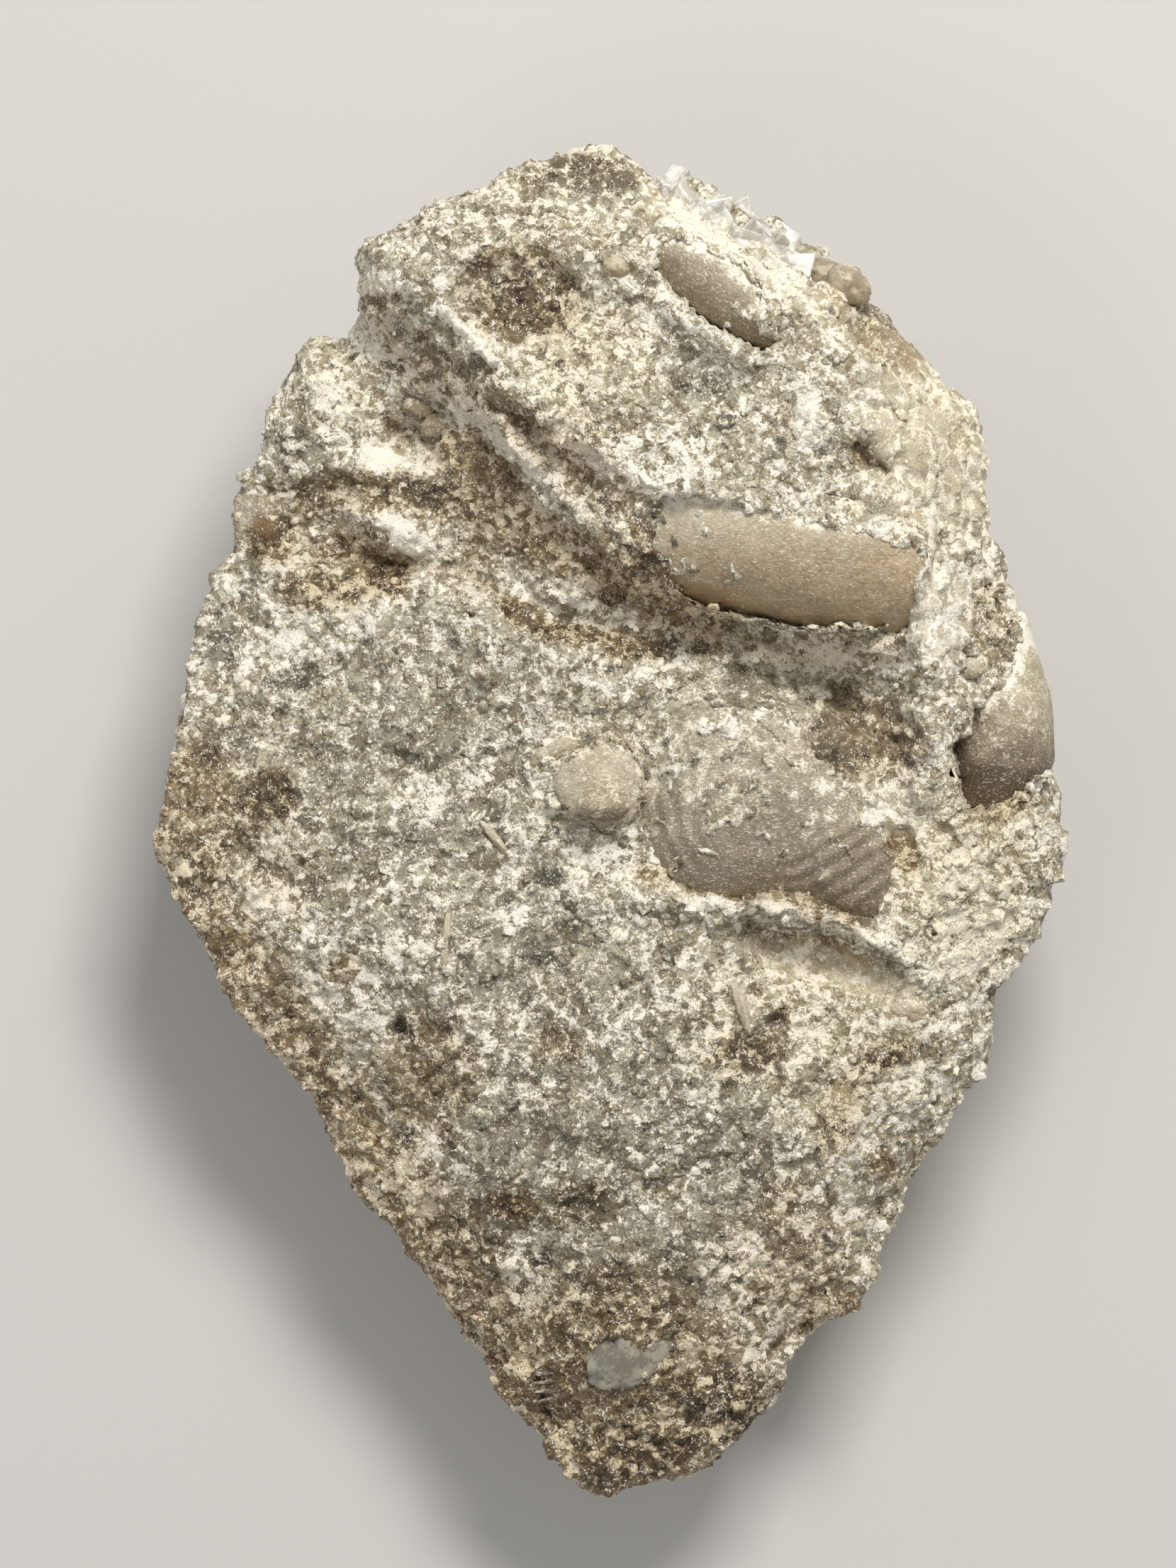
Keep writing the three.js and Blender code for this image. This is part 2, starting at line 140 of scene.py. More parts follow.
class Graph:  # a material being wired
    def __init__(self, name):
        self.material = bpy.data.materials.new(name)
        self.material.use_nodes = True
        self.tree = self.material.node_tree
        self.tree.nodes.clear()

    def node(self, kind, settings={}, sockets={}, out=0):
        made = self.tree.nodes.new("ShaderNode" + kind)
        for key, value in settings.items():
            if key == "stops":
                self.setStops(made.color_ramp, value)
            else:
                setattr(made, key, value)
        for key, value in sockets.items():
            if isinstance(value, Wire):
                self.tree.links.new(value.socket, made.inputs[key])
            else:
                made.inputs[key].default_value = value
        return Wire(self, made.outputs[out]) if len(made.outputs) else made

    def setStops(self, ramp, stops):
        while len(ramp.elements) < len(stops):
            ramp.elements.new(0.5)
        for element, (place, colour) in zip(ramp.elements, stops):
            element.position = place
            element.color = colour

    def vector(self, operation, first, second, out=0):
        return self.node("VectorMath", {"operation": operation}, {0: first, 1: second}, out)

    def scaled(self, vector, amount):
        return self.node("VectorMath", {"operation": "SCALE"}, {0: vector, "Scale": amount})

    def places(self):  # where on the piece, in millimetres
        return self.drawn(self.node("TexCoord", out="Object"), (1 / mm, 1 / mm, 1 / mm))

    def drawn(self, place, stretch, turn=0.0):  # the same places, turned and then stretched
        size = tuple(1 / side for side in stretch)
        sockets = {"Vector": place, "Scale": size, "Rotation": (0, 0, turn)}
        return self.node("Mapping", {"vector_type": "TEXTURE"}, sockets)

    def clouds(self, place, scale, detail=2.0, roughness=0.5, out="Fac"):
        sockets = {"Vector": place, "Scale": scale, "Detail": detail, "Roughness": roughness}
        return self.node("TexNoise", {}, sockets, out)

    def cells(self, place, scale, out="Color", feature="F1"):
        return self.node("TexVoronoi", {"feature": feature}, {"Vector": place, "Scale": scale}, out)

    def bent(self, place, scale, amount):  # the same places, pushed about by clouds
        push = self.vector("SUBTRACT", self.clouds(place, scale, out="Color"), (0.5, 0.5, 0.5))
        return self.vector("ADD", place, self.scaled(push, amount))

    def step(self, value, low, high):  # 0 at low, 1 at high, smooth between
        sockets = {"Value": value, "From Min": low, "From Max": high}
        return self.node("MapRange", {"interpolation_type": "SMOOTHSTEP"}, sockets)

    def mix(self, share, first, second, blend="MIX"):
        settings = {"data_type": "RGBA", "blend_type": blend}
        return self.node("Mix", settings, {0: share, 6: first, 7: second}, 2)

    def coat(self, colour, value, layer):  # lays a second colour on, as a value goes from low to high
        low, high, share, top = layer
        return self.mix(self.step(value, low, high) * share, colour, top)

    def part(self, colour, channel):  # one channel of a colour, 0 to 2
        return self.node("SeparateColor", {}, {0: colour}, channel)

    def ramp(self, value, stops):
        return self.node("ValToRGB", {"stops": stops}, {0: value})

    def attribute(self, name):
        return self.node("Attribute", {"attribute_name": name}, out="Fac")

    def tilt(self, colour, amount, normal=None):  # leans the normal by a random colour
        lean = self.scaled(self.vector("SUBTRACT", colour, (0.5, 0.5, 0.5)), amount)
        upright = normal or self.node("NewGeometry", out="Normal")
        return self.node("VectorMath", {"operation": "NORMALIZE"}, {0: self.vector("ADD", upright, lean)})

    def bump(self, height, strength, distance, normal=None):
        sockets = {"Height": height, "Strength": strength, "Distance": distance * mm}
        if normal:
            sockets["Normal"] = normal
        return self.node("Bump", {}, sockets)

    def finish(self, sockets):
        surface = self.node("BsdfPrincipled", {}, sockets)
        output = self.node("OutputMaterial")
        self.tree.links.new(surface.socket, output.inputs["Surface"])
        return self.material


frostLow = paint(222, 213, 188)
frostHigh = paint(255, 250, 235)

calciteLook = {  # scales are to the millimetre; clouds also have their detail and roughness
    "under": [  # below the frosting: the share of the pieces that is darker, and the colour from there on
        (0.0, paint(106, 104, 94)),
        (0.16, paint(134, 126, 104)),
        (0.34, paint(152, 136, 106)),
        (0.52, paint(164, 156, 132)),
        (0.76, paint(184, 178, 154)),
        (1.0, paint(208, 202, 176)),
    ],
    "mixedBy": {"tone": 0.6, "chip": 0.4, "sugar": 0.7},  # what picks the colour below the frosting
    "bend": (1.4, 0.7),  # scale and size of the clouds that push the grains about
    "grainScale": 1.0,
    "chipScale": 2.8,
    "shardScale": 2.1,
    "patchScale": 0.16,
    "sugar": (1.15, 6.0, 0.76),
    "specks": (7.5, 2.0, 0.6),
    "fibres": (1.5, 3.0, 0.6),
    "fibreStretch": (0.5, 1.3, 1.0),
    "fibreTurn": -0.7,
    "ossicleEdge": (-0.05, 0.07),  # in millimetres inside it
    "seam": (0.2, 0.02),  # how far from where two grains meet
    # the dark tint's colour: the stone's own dark patches, and painted shade where the tint lies at ledge
    # feet, in hollows and in the recess
    "dark": paint(132, 136, 134),
    "sparLow": paint(194, 185, 160),
    "sparHigh": paint(230, 223, 202),
    "mouldLow": paint(188, 173, 146),
    "mouldHigh": paint(222, 211, 188),
    "plainShare": 0.85,  # how fully the spar and the smooth moulds cover the pieces
    # where the brown tint lies: the stone's own brown, and painted shade in part
    "deepBrown": paint(202, 177, 145),
    "frostBy": {  # what each pattern and tint adds to the frosting
        "speck": 0.4, "edge": 0.09, "shard": 0.25, "frost": 0.2, "dark": -0.14, "sparEdge": 0.16,
        "spar": -0.07, "fibre": 0.12, "cream": 0.01, "inside": -0.08, "smooth": -0.08, "patches": 0.3,
        "all": -0.02,
    },
    "softFrost": (0.40, 0.58, 0.6, frostLow),  # where it starts, where it is full, how strong, and its colour
    "hardFrost": (0.53, 0.60, 0.9, frostHigh),
    "glint": (0.73, 0.80, 0.8, paint(255, 254, 248)),
    # darker specks: painted shade in the small holes between the grains
    "holeEdge": (0.52, 0.42),
    "holeShade": paint(142, 126, 104),
    "cream": paint(252, 248, 236),
    # the brown tint again, over the frosting: the stone's own brown, and painted shade in part
    "brown": paint(226, 211, 186),
    # pit: painted shade in the hollows of the relief
    "pit": paint(196, 180, 158),
    "lean": 0.5,  # how far each chip turns the light its own way
    "bump": (0.7, 0.25),
    "gloss": (0.3, 0.34),  # the lowest roughness, and how much more the dullest chip has
}


def calcitePatterns(g, look):  # the patterns that the colours, the gloss and the bumps share
    place = g.places()
    bent = g.bent(place, *look["bend"])
    speck = g.clouds(place, *look["specks"])
    fibres = g.clouds(g.drawn(bent, look["fibreStretch"], look["fibreTurn"]), *look["fibres"])
    shards = g.vector("ADD", g.scaled(place, 0.6), g.scaled(bent, 0.4))
    seam = g.cells(bent, look["grainScale"], "Distance", "DISTANCE_TO_EDGE")
    inside = g.step(g.attribute("ossicle") + 0.3 * (speck - 0.5), *look["ossicleEdge"])
    return SimpleNamespace(
        speck=speck,
        inside=inside,  # 1 on the round pieces of sea lily stem
        edge=g.step(seam, *look["seam"]) * (1 - inside),  # 1 where two grains meet
        grain=g.cells(bent, look["grainScale"]),
        chip=g.cells(bent, look["chipScale"]),
        shard=g.cells(shards, look["shardScale"]),
        shardy=0.9 - 0.9 * g.attribute("sugary"),  # how far shards stand in for the sugar
        sugar=g.clouds(bent, *look["sugar"]),
        patches=g.clouds(place, look["patchScale"]),
        fibre=g.node("Math", {"operation": "ABSOLUTE"}, {0: fibres - 0.5}),  # 0 along each fibre
    )


def calciteUnder(g, p, look):  # the colour below the frosting
    by = look["mixedBy"]
    grain = g.part(p.grain, 0)
    tone = p.inside * (g.attribute("tone") - grain) + grain
    value = by["tone"] * tone + by["chip"] * g.part(p.chip, 0) + by["sugar"] * (p.sugar - 0.5)
    # the dark tint: the stone's dark patches, and painted shade in part
    colour = g.mix(g.attribute("dark"), g.ramp(value, look["under"]), look["dark"], "MULTIPLY")
    spar = g.mix(g.part(p.grain, 1), look["sparLow"], look["sparHigh"])
    colour = g.mix(g.attribute("spar") * look["plainShare"], colour, spar)
    mould = g.mix(g.step(p.sugar, 0.42, 0.58), look["mouldLow"], look["mouldHigh"])
    colour = g.mix(g.attribute("smooth") * look["plainShare"], colour, mould)
    # the brown tint: the stone's own brown, and painted shade in part
    return g.mix(g.attribute("brown"), colour, look["deepBrown"], "MULTIPLY")


def calciteFrosting(g, p, by):  # how frosted each place is, about 0.5
    frosting = p.sugar + by["speck"] * (p.speck - 0.5) + by["edge"] * p.edge
    swapped = by["shard"] * (g.part(p.shard, 0) - 0.5) - by["shard"] * (p.sugar - 0.5)
    frosting = frosting + p.shardy * swapped
    frosting = frosting + by["frost"] * g.attribute("frost") + by["dark"] * g.attribute("dark")
    frosting = frosting + g.attribute("spar") * (by["sparEdge"] * p.edge + by["spar"])
    frosting = frosting + g.attribute("cream") * (by["fibre"] * g.step(p.fibre, 0.05, 0.0) + by["cream"])
    frosting = frosting + by["inside"] * p.inside + by["smooth"] * g.attribute("smooth")
    return frosting + by["patches"] * (p.patches - 0.5) + by["all"]


def calciteMaterial(name):
    look = calciteLook
    g = Graph(name)
    p = calcitePatterns(g, look)
    smooth = g.attribute("smooth")
    spar = g.attribute("spar")
    frosting = calciteFrosting(g, p, look["frostBy"])
    colour = g.coat(calciteUnder(g, p, look), frosting, look["softFrost"])
    colour = g.coat(colour, frosting, look["hardFrost"])
    # darker specks, painted as the shade in the small holes between the grains
    shadeInHoles = g.step(p.speck + 0.3 * p.sugar, *look["holeEdge"]) * (0.8 - 0.7 * smooth - 0.4 * spar)
    colour = g.mix(shadeInHoles, colour, look["holeShade"], "MULTIPLY")
    # brown is the stone's own brown with painted shade in part, and pit is painted shade in the hollows
    for tint in ("cream", "brown", "pit"):
        colour = g.mix(g.attribute(tint), colour, look[tint], "MULTIPLY")
    colour = g.coat(colour, p.speck + 0.2 * g.part(p.chip, 1), look["glint"])

    lean = look["lean"] * (1 - smooth)
    normal = g.tilt(p.chip, lean * (1 - 0.6 * spar))
    normal = g.tilt(p.shard, lean * p.shardy, normal)
    height = p.speck * 0.6 + p.sugar - 0.8 * g.attribute("cream") * p.fibre
    normal = g.bump(height, *look["bump"], normal)
    lowest, more = look["gloss"]
    roughness = lowest + more * g.part(p.chip, 2)
    return g.finish({"Base Color": colour, "Roughness": roughness, "Normal": normal, "IOR": 1.58})


# top is the colour of a fossil's side lit by the key light, and low that of the side turned from it: partly
# the fossils' own browner colour, partly painted shade
castLooks = {
    "cast": {
        "top": paint(206, 199, 177), "mottle": paint(188, 182, 160),
        "low": paint(180, 158, 126), "vein": paint(136, 112, 84),
    },
    "edge": {
        "top": paint(190, 177, 150), "mottle": paint(170, 157, 131),
        "low": paint(98, 83, 62), "vein": paint(98, 82, 62),
    },
    "brown": {
        "top": paint(172, 158, 130), "mottle": paint(156, 142, 116),
        "low": paint(122, 107, 84), "vein": paint(84, 70, 54),
    },
    "pale": {
        "top": paint(192, 182, 157), "mottle": paint(176, 166, 141),
        "low": paint(156, 142, 116), "vein": paint(132, 118, 94),
    },
    "upper": {
        "top": paint(184, 174, 151), "mottle": paint(168, 158, 135),
        "low": paint(138, 125, 101), "vein": paint(108, 94, 74),
    },
    "shield": {
        "top": paint(166, 156, 134), "mottle": paint(150, 140, 118),
        "low": paint(132, 119, 97), "vein": paint(108, 94, 74),
    },
    "dark": {
        "top": paint(104, 92, 76), "mottle": paint(92, 80, 66),
        "low": paint(74, 62, 50), "vein": paint(60, 50, 40),
    },
}

castGrain = {  # the same on every cast: scales to the millimetre
    "stretch": (0.5, 1.0, 1.0),  # draws the specks out
    "mottles": (0.9, 4.0, 0.6),  # clouds: scale, detail, roughness
    "specks": (10.0, 3.0, 0.65),
    "grit": (3.6, 3.0, 0.65),
    "veinScale": 1.3,
    "veinBend": (1.2, 0.7),
    "chipScale": 4.5,
    "mottle": (0.38, 0.62),  # from where to where it turns to the top colour
    # less frosting where the low colour, painted shade in part, lies
    "frostBy": {"speck": 0.35, "rim": 0.2, "low": -0.14, "all": 0.06},
    "coats": [  # by pattern: where each starts, where it is full, how strong, and its colour
        ("frosting", (0.54, 0.68, 0.75, frostLow)),
        ("frosting", (0.64, 0.72, 0.8, frostHigh)),
        ("speck", (0.54, 0.68, 0.6, frostHigh)),
    ],
    "gaps": (0.44, 0.32, 0.35),  # between the specks, where the low colour shows
    "lean": 0.25,
    "bump": (0.5, 0.16),
    "gloss": (0.36, 0.2),
}


def castMaterial(name, kind, turn):  # smooth fossil casts, with their specks drawn out along turn
    look = castLooks[kind]
    grain = castGrain
    by = grain["frostBy"]
    g = Graph(name)
    place = g.places()
    along = g.drawn(place, grain["stretch"], turn)
    mottle = g.clouds(place, *grain["mottles"])
    speck = g.clouds(along, *grain["specks"])
    grit = g.clouds(place, *grain["grit"])
    sugar = g.clouds(g.bent(place, *calciteLook["bend"]), *calciteLook["sugar"])
    vein = g.cells(g.bent(along, *grain["veinBend"]), grain["veinScale"], "Distance", "DISTANCE_TO_EDGE")
    low = g.attribute("low")
    colour = g.mix(g.step(mottle + 0.6 * (grit - 0.5), *grain["mottle"]), look["mottle"], look["top"])
    # the low colour: painted shade on the side turned from the light, and the fossil's own browner colour
    colour = g.mix(low, colour, look["low"])
    colour = g.mix(g.step(vein, 0.07, 0.0) * g.step(low, 0.4, 1.0) * 0.4, colour, look["vein"])
    frosting = sugar + by["speck"] * (speck - 0.5) + by["rim"] * g.attribute("rim")
    frosting = frosting + by["all"] + by["low"] * low
    patterns = {"frosting": frosting, "speck": speck}
    for pattern, layer in grain["coats"]:
        colour = g.coat(colour, patterns[pattern], layer)
    colour = g.coat(colour, speck, (*grain["gaps"], look["low"]))
    normal = g.tilt(g.cells(place, grain["chipScale"]), grain["lean"])
    normal = g.bump(speck + sugar + grit, *grain["bump"], normal)
    lowest, more = grain["gloss"]
    return g.finish(
        {
            "Base Color": colour,
            "Roughness": lowest + more * mottle,
            "Normal": normal,
            "Subsurface Weight": 0.15,
            "Subsurface Radius": (0.8, 0.7, 0.55),
            "Subsurface Scale": 0.5 * mm,
            "IOR": 1.55,
        }
    )


sparGrain = {  # the same in all of it
    "bend": (0.8, 0.8),
    "clouds": (0.9, 5.0, 0.68),
    "specks": (6.0, 2.0, 0.6),
    "cloudy": (0.44, 0.60),
    "bump": (0.35, 0.15),
}

sparLooks = {
    "white": {"clear": paint(206, 202, 188), "cloud": paint(252, 249, 240), "through": 0.12},
    "tan": {"clear": paint(164, 148, 122), "cloud": paint(194, 180, 155), "through": 0.12},
    "grey": {"clear": paint(128, 124, 110), "cloud": paint(168, 163, 146), "through": 0.1},
    "amber": {"clear": paint(168, 152, 118), "cloud": paint(204, 192, 164), "through": 0.12},
}


def sparMaterial(name, kind):  # calcite that light goes into
    look = sparLooks[kind]
    g = Graph(name)
    place = g.places()
    cloud = g.clouds(g.bent(place, *sparGrain["bend"]), *sparGrain["clouds"])
    speck = g.clouds(place, *sparGrain["specks"])
    cloudy = g.step(cloud + 0.25 * (speck - 0.5), *sparGrain["cloudy"])
    colour = g.mix(cloudy, look["clear"], look["cloud"])
    normal = g.bump(cloud + 0.4 * speck, *sparGrain["bump"])
    return g.finish(
        {
            "Base Color": colour,
            "Roughness": 0.16 + 0.4 * g.step(cloud, 0.4, 0.6),
            "Normal": normal,
            "IOR": 1.6,
            "Transmission Weight": look["through"],
            "Subsurface Weight": 0.3,
            "Subsurface Radius": (1.0, 0.95, 0.8),
            "Subsurface Scale": 1.2 * mm,
        }
    )


def pieceFrom(name, mesh, material, smooth=True):
    mesh.materials.clear()
    mesh.materials.append(material)
    mesh.polygons.foreach_set("use_smooth", [smooth] * len(mesh.polygons))
    piece = bpy.data.objects.new(name, mesh)
    bpy.context.scene.collection.objects.link(piece)
    return piece


def meshFrom(bm, name):
    mesh = bpy.data.meshes.new(name)
    bm.to_mesh(mesh)
    bm.free()
    return mesh


def finishModifiers(piece):  # gives the piece the mesh that its modifiers make
    graph = bpy.context.evaluated_depsgraph_get()
    mesh = bpy.data.meshes.new_from_object(piece.evaluated_get(graph))
    old = piece.data
    piece.modifiers.clear()
    piece.data = mesh
    bpy.data.meshes.remove(old)


def ballMesh(name, s):  # a ball of radius 1, to be drawn out into a fossil
    bm = bmesh.new()
    bmesh.ops.create_uvsphere(bm, u_segments=s["around"], v_segments=s["steps"], radius=1)
    return meshFrom(bm, name)


def vectorsOf(items, key):
    values = np.empty(len(items) * 3)
    items.foreach_get(key, values)
    return values.reshape(-1, 3)


def numbersOf(items, key, kind=float):
    values = np.empty(len(items), kind)
    items.foreach_get(key, values)
    return values


def cornersOf(mesh):
    return vectorsOf(mesh.vertices, "co") / mm


def setCorners(mesh, values):
    mesh.vertices.foreach_set("co", (values * mm).ravel())
    mesh.update()


def setShare(mesh, name, values):
    layer = mesh.attributes.get(name) or mesh.attributes.new(name, "FLOAT", "POINT")
    layer.data.foreach_set("value", np.asarray(values, np.float32))


def ease(values):  # 0 below 0, 1 above 1, smooth between
    values = np.clip(values, 0, 1)
    return values * values * (3 - 2 * values)


def turned(points, degrees):
    angle = np.radians(degrees)
    x, y = points[:, 0], points[:, 1]
    return np.stack((x * np.cos(angle) + y * np.sin(angle), y * np.cos(angle) - x * np.sin(angle)), 1)


def alongLine(points, line):  # distance from a line of corners, and share of the way along it
    distance = np.full(len(points), np.inf)
    share = np.zeros(len(points))
    ends = np.array(line, float)
    lengths = np.hypot(*(ends[1:] - ends[:-1]).T)
    run = 0
    for start, end, length in zip(ends[:-1], ends[1:], lengths):
        way = (end - start) / length
        offset = points - start
        reach = np.clip(offset @ way, 0, length)
        gap = np.hypot(*(offset - reach[:, None] * way).T)
        nearer = gap < distance
        distance[nearer] = gap[nearer]
        share[nearer] = (run + reach[nearer]) / lengths.sum()
        run += length
    return distance, share


def insideBy(points, outline):  # how far inside a closed outline, negative outside
    closed = [*outline, outline[0]]
    distance = alongLine(points, closed)[0]
    inside = np.zeros(len(points), bool)
    for (x1, y1), (x2, y2) in zip(closed[:-1], closed[1:]):
        if y1 != y2:
            crosses = (points[:, 1] > min(y1, y2)) & (points[:, 1] <= max(y1, y2))
            inside ^= crosses & (points[:, 0] < x1 + (points[:, 1] - y1) * (x2 - x1) / (y2 - y1))
    return np.where(inside, distance, -distance)


def nearbyOnly(points, line, reach):  # which points are in the line's box, widened by reach
    low = np.min(line, 0) - reach
    high = np.max(line, 0) + reach
    return np.all((points[:, :2] > low) & (points[:, :2] < high), 1)


def shiftOf(seed):  # each seed looks at its own place in the noise
    return Vector((seed, seed * 1.7, seed * 2.3))


def cloudAt(place, octaves):
    weaker, finer = 0.8, 2.1  # how each octave follows the one before
    return noise.fractal(place, weaker, finer, octaves)


def rough(points, size, seed, octaves=3):
    shift = shiftOf(seed)
    return np.array([cloudAt(Vector(point) / size + shift, octaves) for point in points])


def wornBy(points, layers):  # the sum of layers of roughness: height, size, seed, octaves
    return sum(height * rough(points, size, seed, octaves) for height, size, seed, octaves in layers)


def pushes(points, size, seed):
    shift = shiftOf(seed)
    return np.array([noise.turbulence_vector(Vector(point) / size + shift, 2, False) for point in points])


def drawOf(centre):  # three random numbers, 0 to 1, that belong to the cell with this centre
    apart = 7.31  # keeps near centres from sharing their numbers
    return noise.cell_vector(centre * apart)


def facets(points, size, seed):  # each grain is a facet that leans its own way
    shift = shiftOf(seed)
    middle = Vector((0.5, 0.5, 0.5))
    heights = np.empty(len(points))
    for i, point in enumerate(points):
        place = Vector(point) / size + shift
        centre = noise.voronoi(place)[1][0]
        lean = drawOf(centre) - middle
        heights[i] = 2 * (place - centre).dot(lean) + lean.x
    return heights


ossicleSetup = {  # broken stems of sea lilies, as round pieces all through the stone
    "spacing": 1.9,
    "radius": (0.3, 0.6),  # of the spacing
    "share": 0.75,
    "raised": 0.6,  # the share that stands out of the stone, while the rest is sunk in it
    "rise": 0.1,
    "shoulder": 0.3,  # how far in from the edge it has its full height
    "seed": 4.4,
    "margin": 0.4,  # the same for the placed ones, and how far outside one it still rules
    "placed": [  # where, radius, height over the stone, and tone
        ((-7.1, 0.7), 0.95, 0.12, 0.3), ((-7.2, -2.2), 0.8, 0.1, 0.28),
        ((1.7, 6.9), 0.6, 0.1, 0.35), ((14.2, -0.2), 0.9, 0.05, 0.55),
        ((-2.6, -12.6), 0.9, -0.15, 0.4), ((-12.2, -12.0), 0.75, -0.2, 0.1),
        ((-9.8, -12.3), 0.65, -0.2, 0.3), ((3.4, -14.2), 0.6, -0.15, 0.35),
        ((-15.4, -8.6), 0.9, 0.1, 0.4), ((-5.5, -22.5), 1.5, 0.15, 0.25),
        ((-1.0, -21.1), 1.2, 0.3, 0.6), ((-6.0, -19.0), 1.1, 0.15, 0.5),
        ((-3.3, -33.0), 1.1, 0.1, 0.3), ((12.9, -20.6), 0.8, 0.1, 0.4),
        ((16.3, -20.0), 1.1, 0.2, 0.45), ((-0.2, 6.9), 0.45, 0.2, 1.0),
    ],
}


def ossiclesAt(points, s):  # how far inside a round piece, its height over the rest, and its tone
    shift = shiftOf(s["seed"])
    small, large = s["radius"]
    found = np.empty((3, len(points)))
    for i, point in enumerate(points):
        distances, centres = noise.voronoi(Vector(point) / s["spacing"] + shift)
        draw = drawOf(centres[0])
        radius = small + (large - small) * draw.x
        inside = (radius - distances[0]) * s["spacing"] if draw.y < s["share"] else -1
        rise = s["rise"] if draw.z > 1 - s["raised"] else -s["rise"]
        found[:, i] = inside, rise * min(max(inside / s["shoulder"], 0), 1), draw.z
    for middle, radius, rise, tone in s["placed"]:
        depth = radius - np.hypot(*(points[:, :2] - middle).T)
        near = (depth > -s["margin"]) & (points[:, 2] > faceHeight)
        found[0, near] = depth[near]
        found[1, near] = rise * ease(depth[near] / s["margin"])
        found[2, near] = tone
    return found


def treeOf(mesh):
    return BVHTree.FromPolygons(cornersOf(mesh).tolist(), [tuple(face.vertices) for face in mesh.polygons])


def topOf(tree, x, y):  # where a ray from the sky first meets a mesh
    return tree.ray_cast(Vector((x, y, skyHeight)), Vector((0, 0, -1)))[0]


ground = treeOf(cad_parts[stoneNode].data)


def groundAt(x, y, outside=None):  # height of the CAD stone
    hit = topOf(ground, x, y)
    return hit.z if hit else outside


# Relief of the fossil face, over that of the CAD stone
reliefSetup = {
    "reach": 3,  # of its width, from the middle of a ridge or groove
    "ridgeEnds": 6,  # how bluntly a ridge ends
    "grooveEnds": 5,
    "swellSlope": 1.25,
}

ridgeLines = {  # corners, width, height
    "sharpCrest": ([(-9.9, 30.2), (-8.6, 28.9), (-7.2, 27.6), (-6.1, 26.5)], 0.4, 0.9),
    "lensLip": ([(-0.6, 33.1), (0.8, 33.3), (2.2, 32.5), (3.5, 31.6)], 0.4, 0.8),
    "crestBranch": ([(-7.4, 28.0), (-6.6, 28.2), (-5.8, 28.8)], 0.28, 0.6),
    "castSideRidge": ([(2.2, 30.8), (4.4, 29.3), (7.4, 27.2), (9.8, 26.4)], 0.5, 0.3),
    "lowerRib": ([(-3.4, 19.8), (-1.0, 17.8), (1.0, 15.8), (2.2, 14.2)], 0.5, 0.6),
    "footLedge": ([(-4.6, 14.0), (-1.8, 12.9), (1.0, 12.2), (3.6, 11.8)], 0.5, 0.5),
    "topStria": ([(11.4, 7.7), (14.4, 7.3), (17.8, 6.2)], 0.28, 0.35),
    "middleStria": ([(12.2, 6.5), (15.0, 6.2), (18.2, 5.0)], 0.28, 0.4),
    "lowStria": ([(13.2, 5.2), (15.8, 4.8), (18.3, 3.9)], 0.28, 0.35),
    "lensRib": ([(-8.0, 24.9), (-6.6, 23.4), (-5.2, 21.7), (-3.8, 20.6)], 0.6, 0.7),
    "rimRidge": ([(2.0, 37.4), (6.0, 34.6), (11.0, 31.7), (15.5, 28.4)], 0.7, 0.5),
    "troughLip": (
        [(5.4, -4.9), (7.6, -5.1), (9.5, -4.9), (12.0, -5.5), (14.6, -6.6), (17.0, -7.6), (19.2, -8.8)],
        0.55, 1.0,
    ),
    "thinRidge": ([(1.0, -20.9), (2.6, -20.6), (4.2, -20.8)], 0.2, 0.4),
    "cornerRidge": ([(-24.5, -3.0), (-22.0, -3.2), (-19.8, -4.3)], 0.6, 0.5),
    "castApron": ([(4.6, 10.9), (8.6, 10.2), (12.6, 10.1), (17.0, 10.1)], 1.2, 1.1),
    "recessWall": ([(19.2, 11.0), (18.8, 8.0), (18.9, 5.6), (19.4, 3.4)], 0.8, 0.6),
}

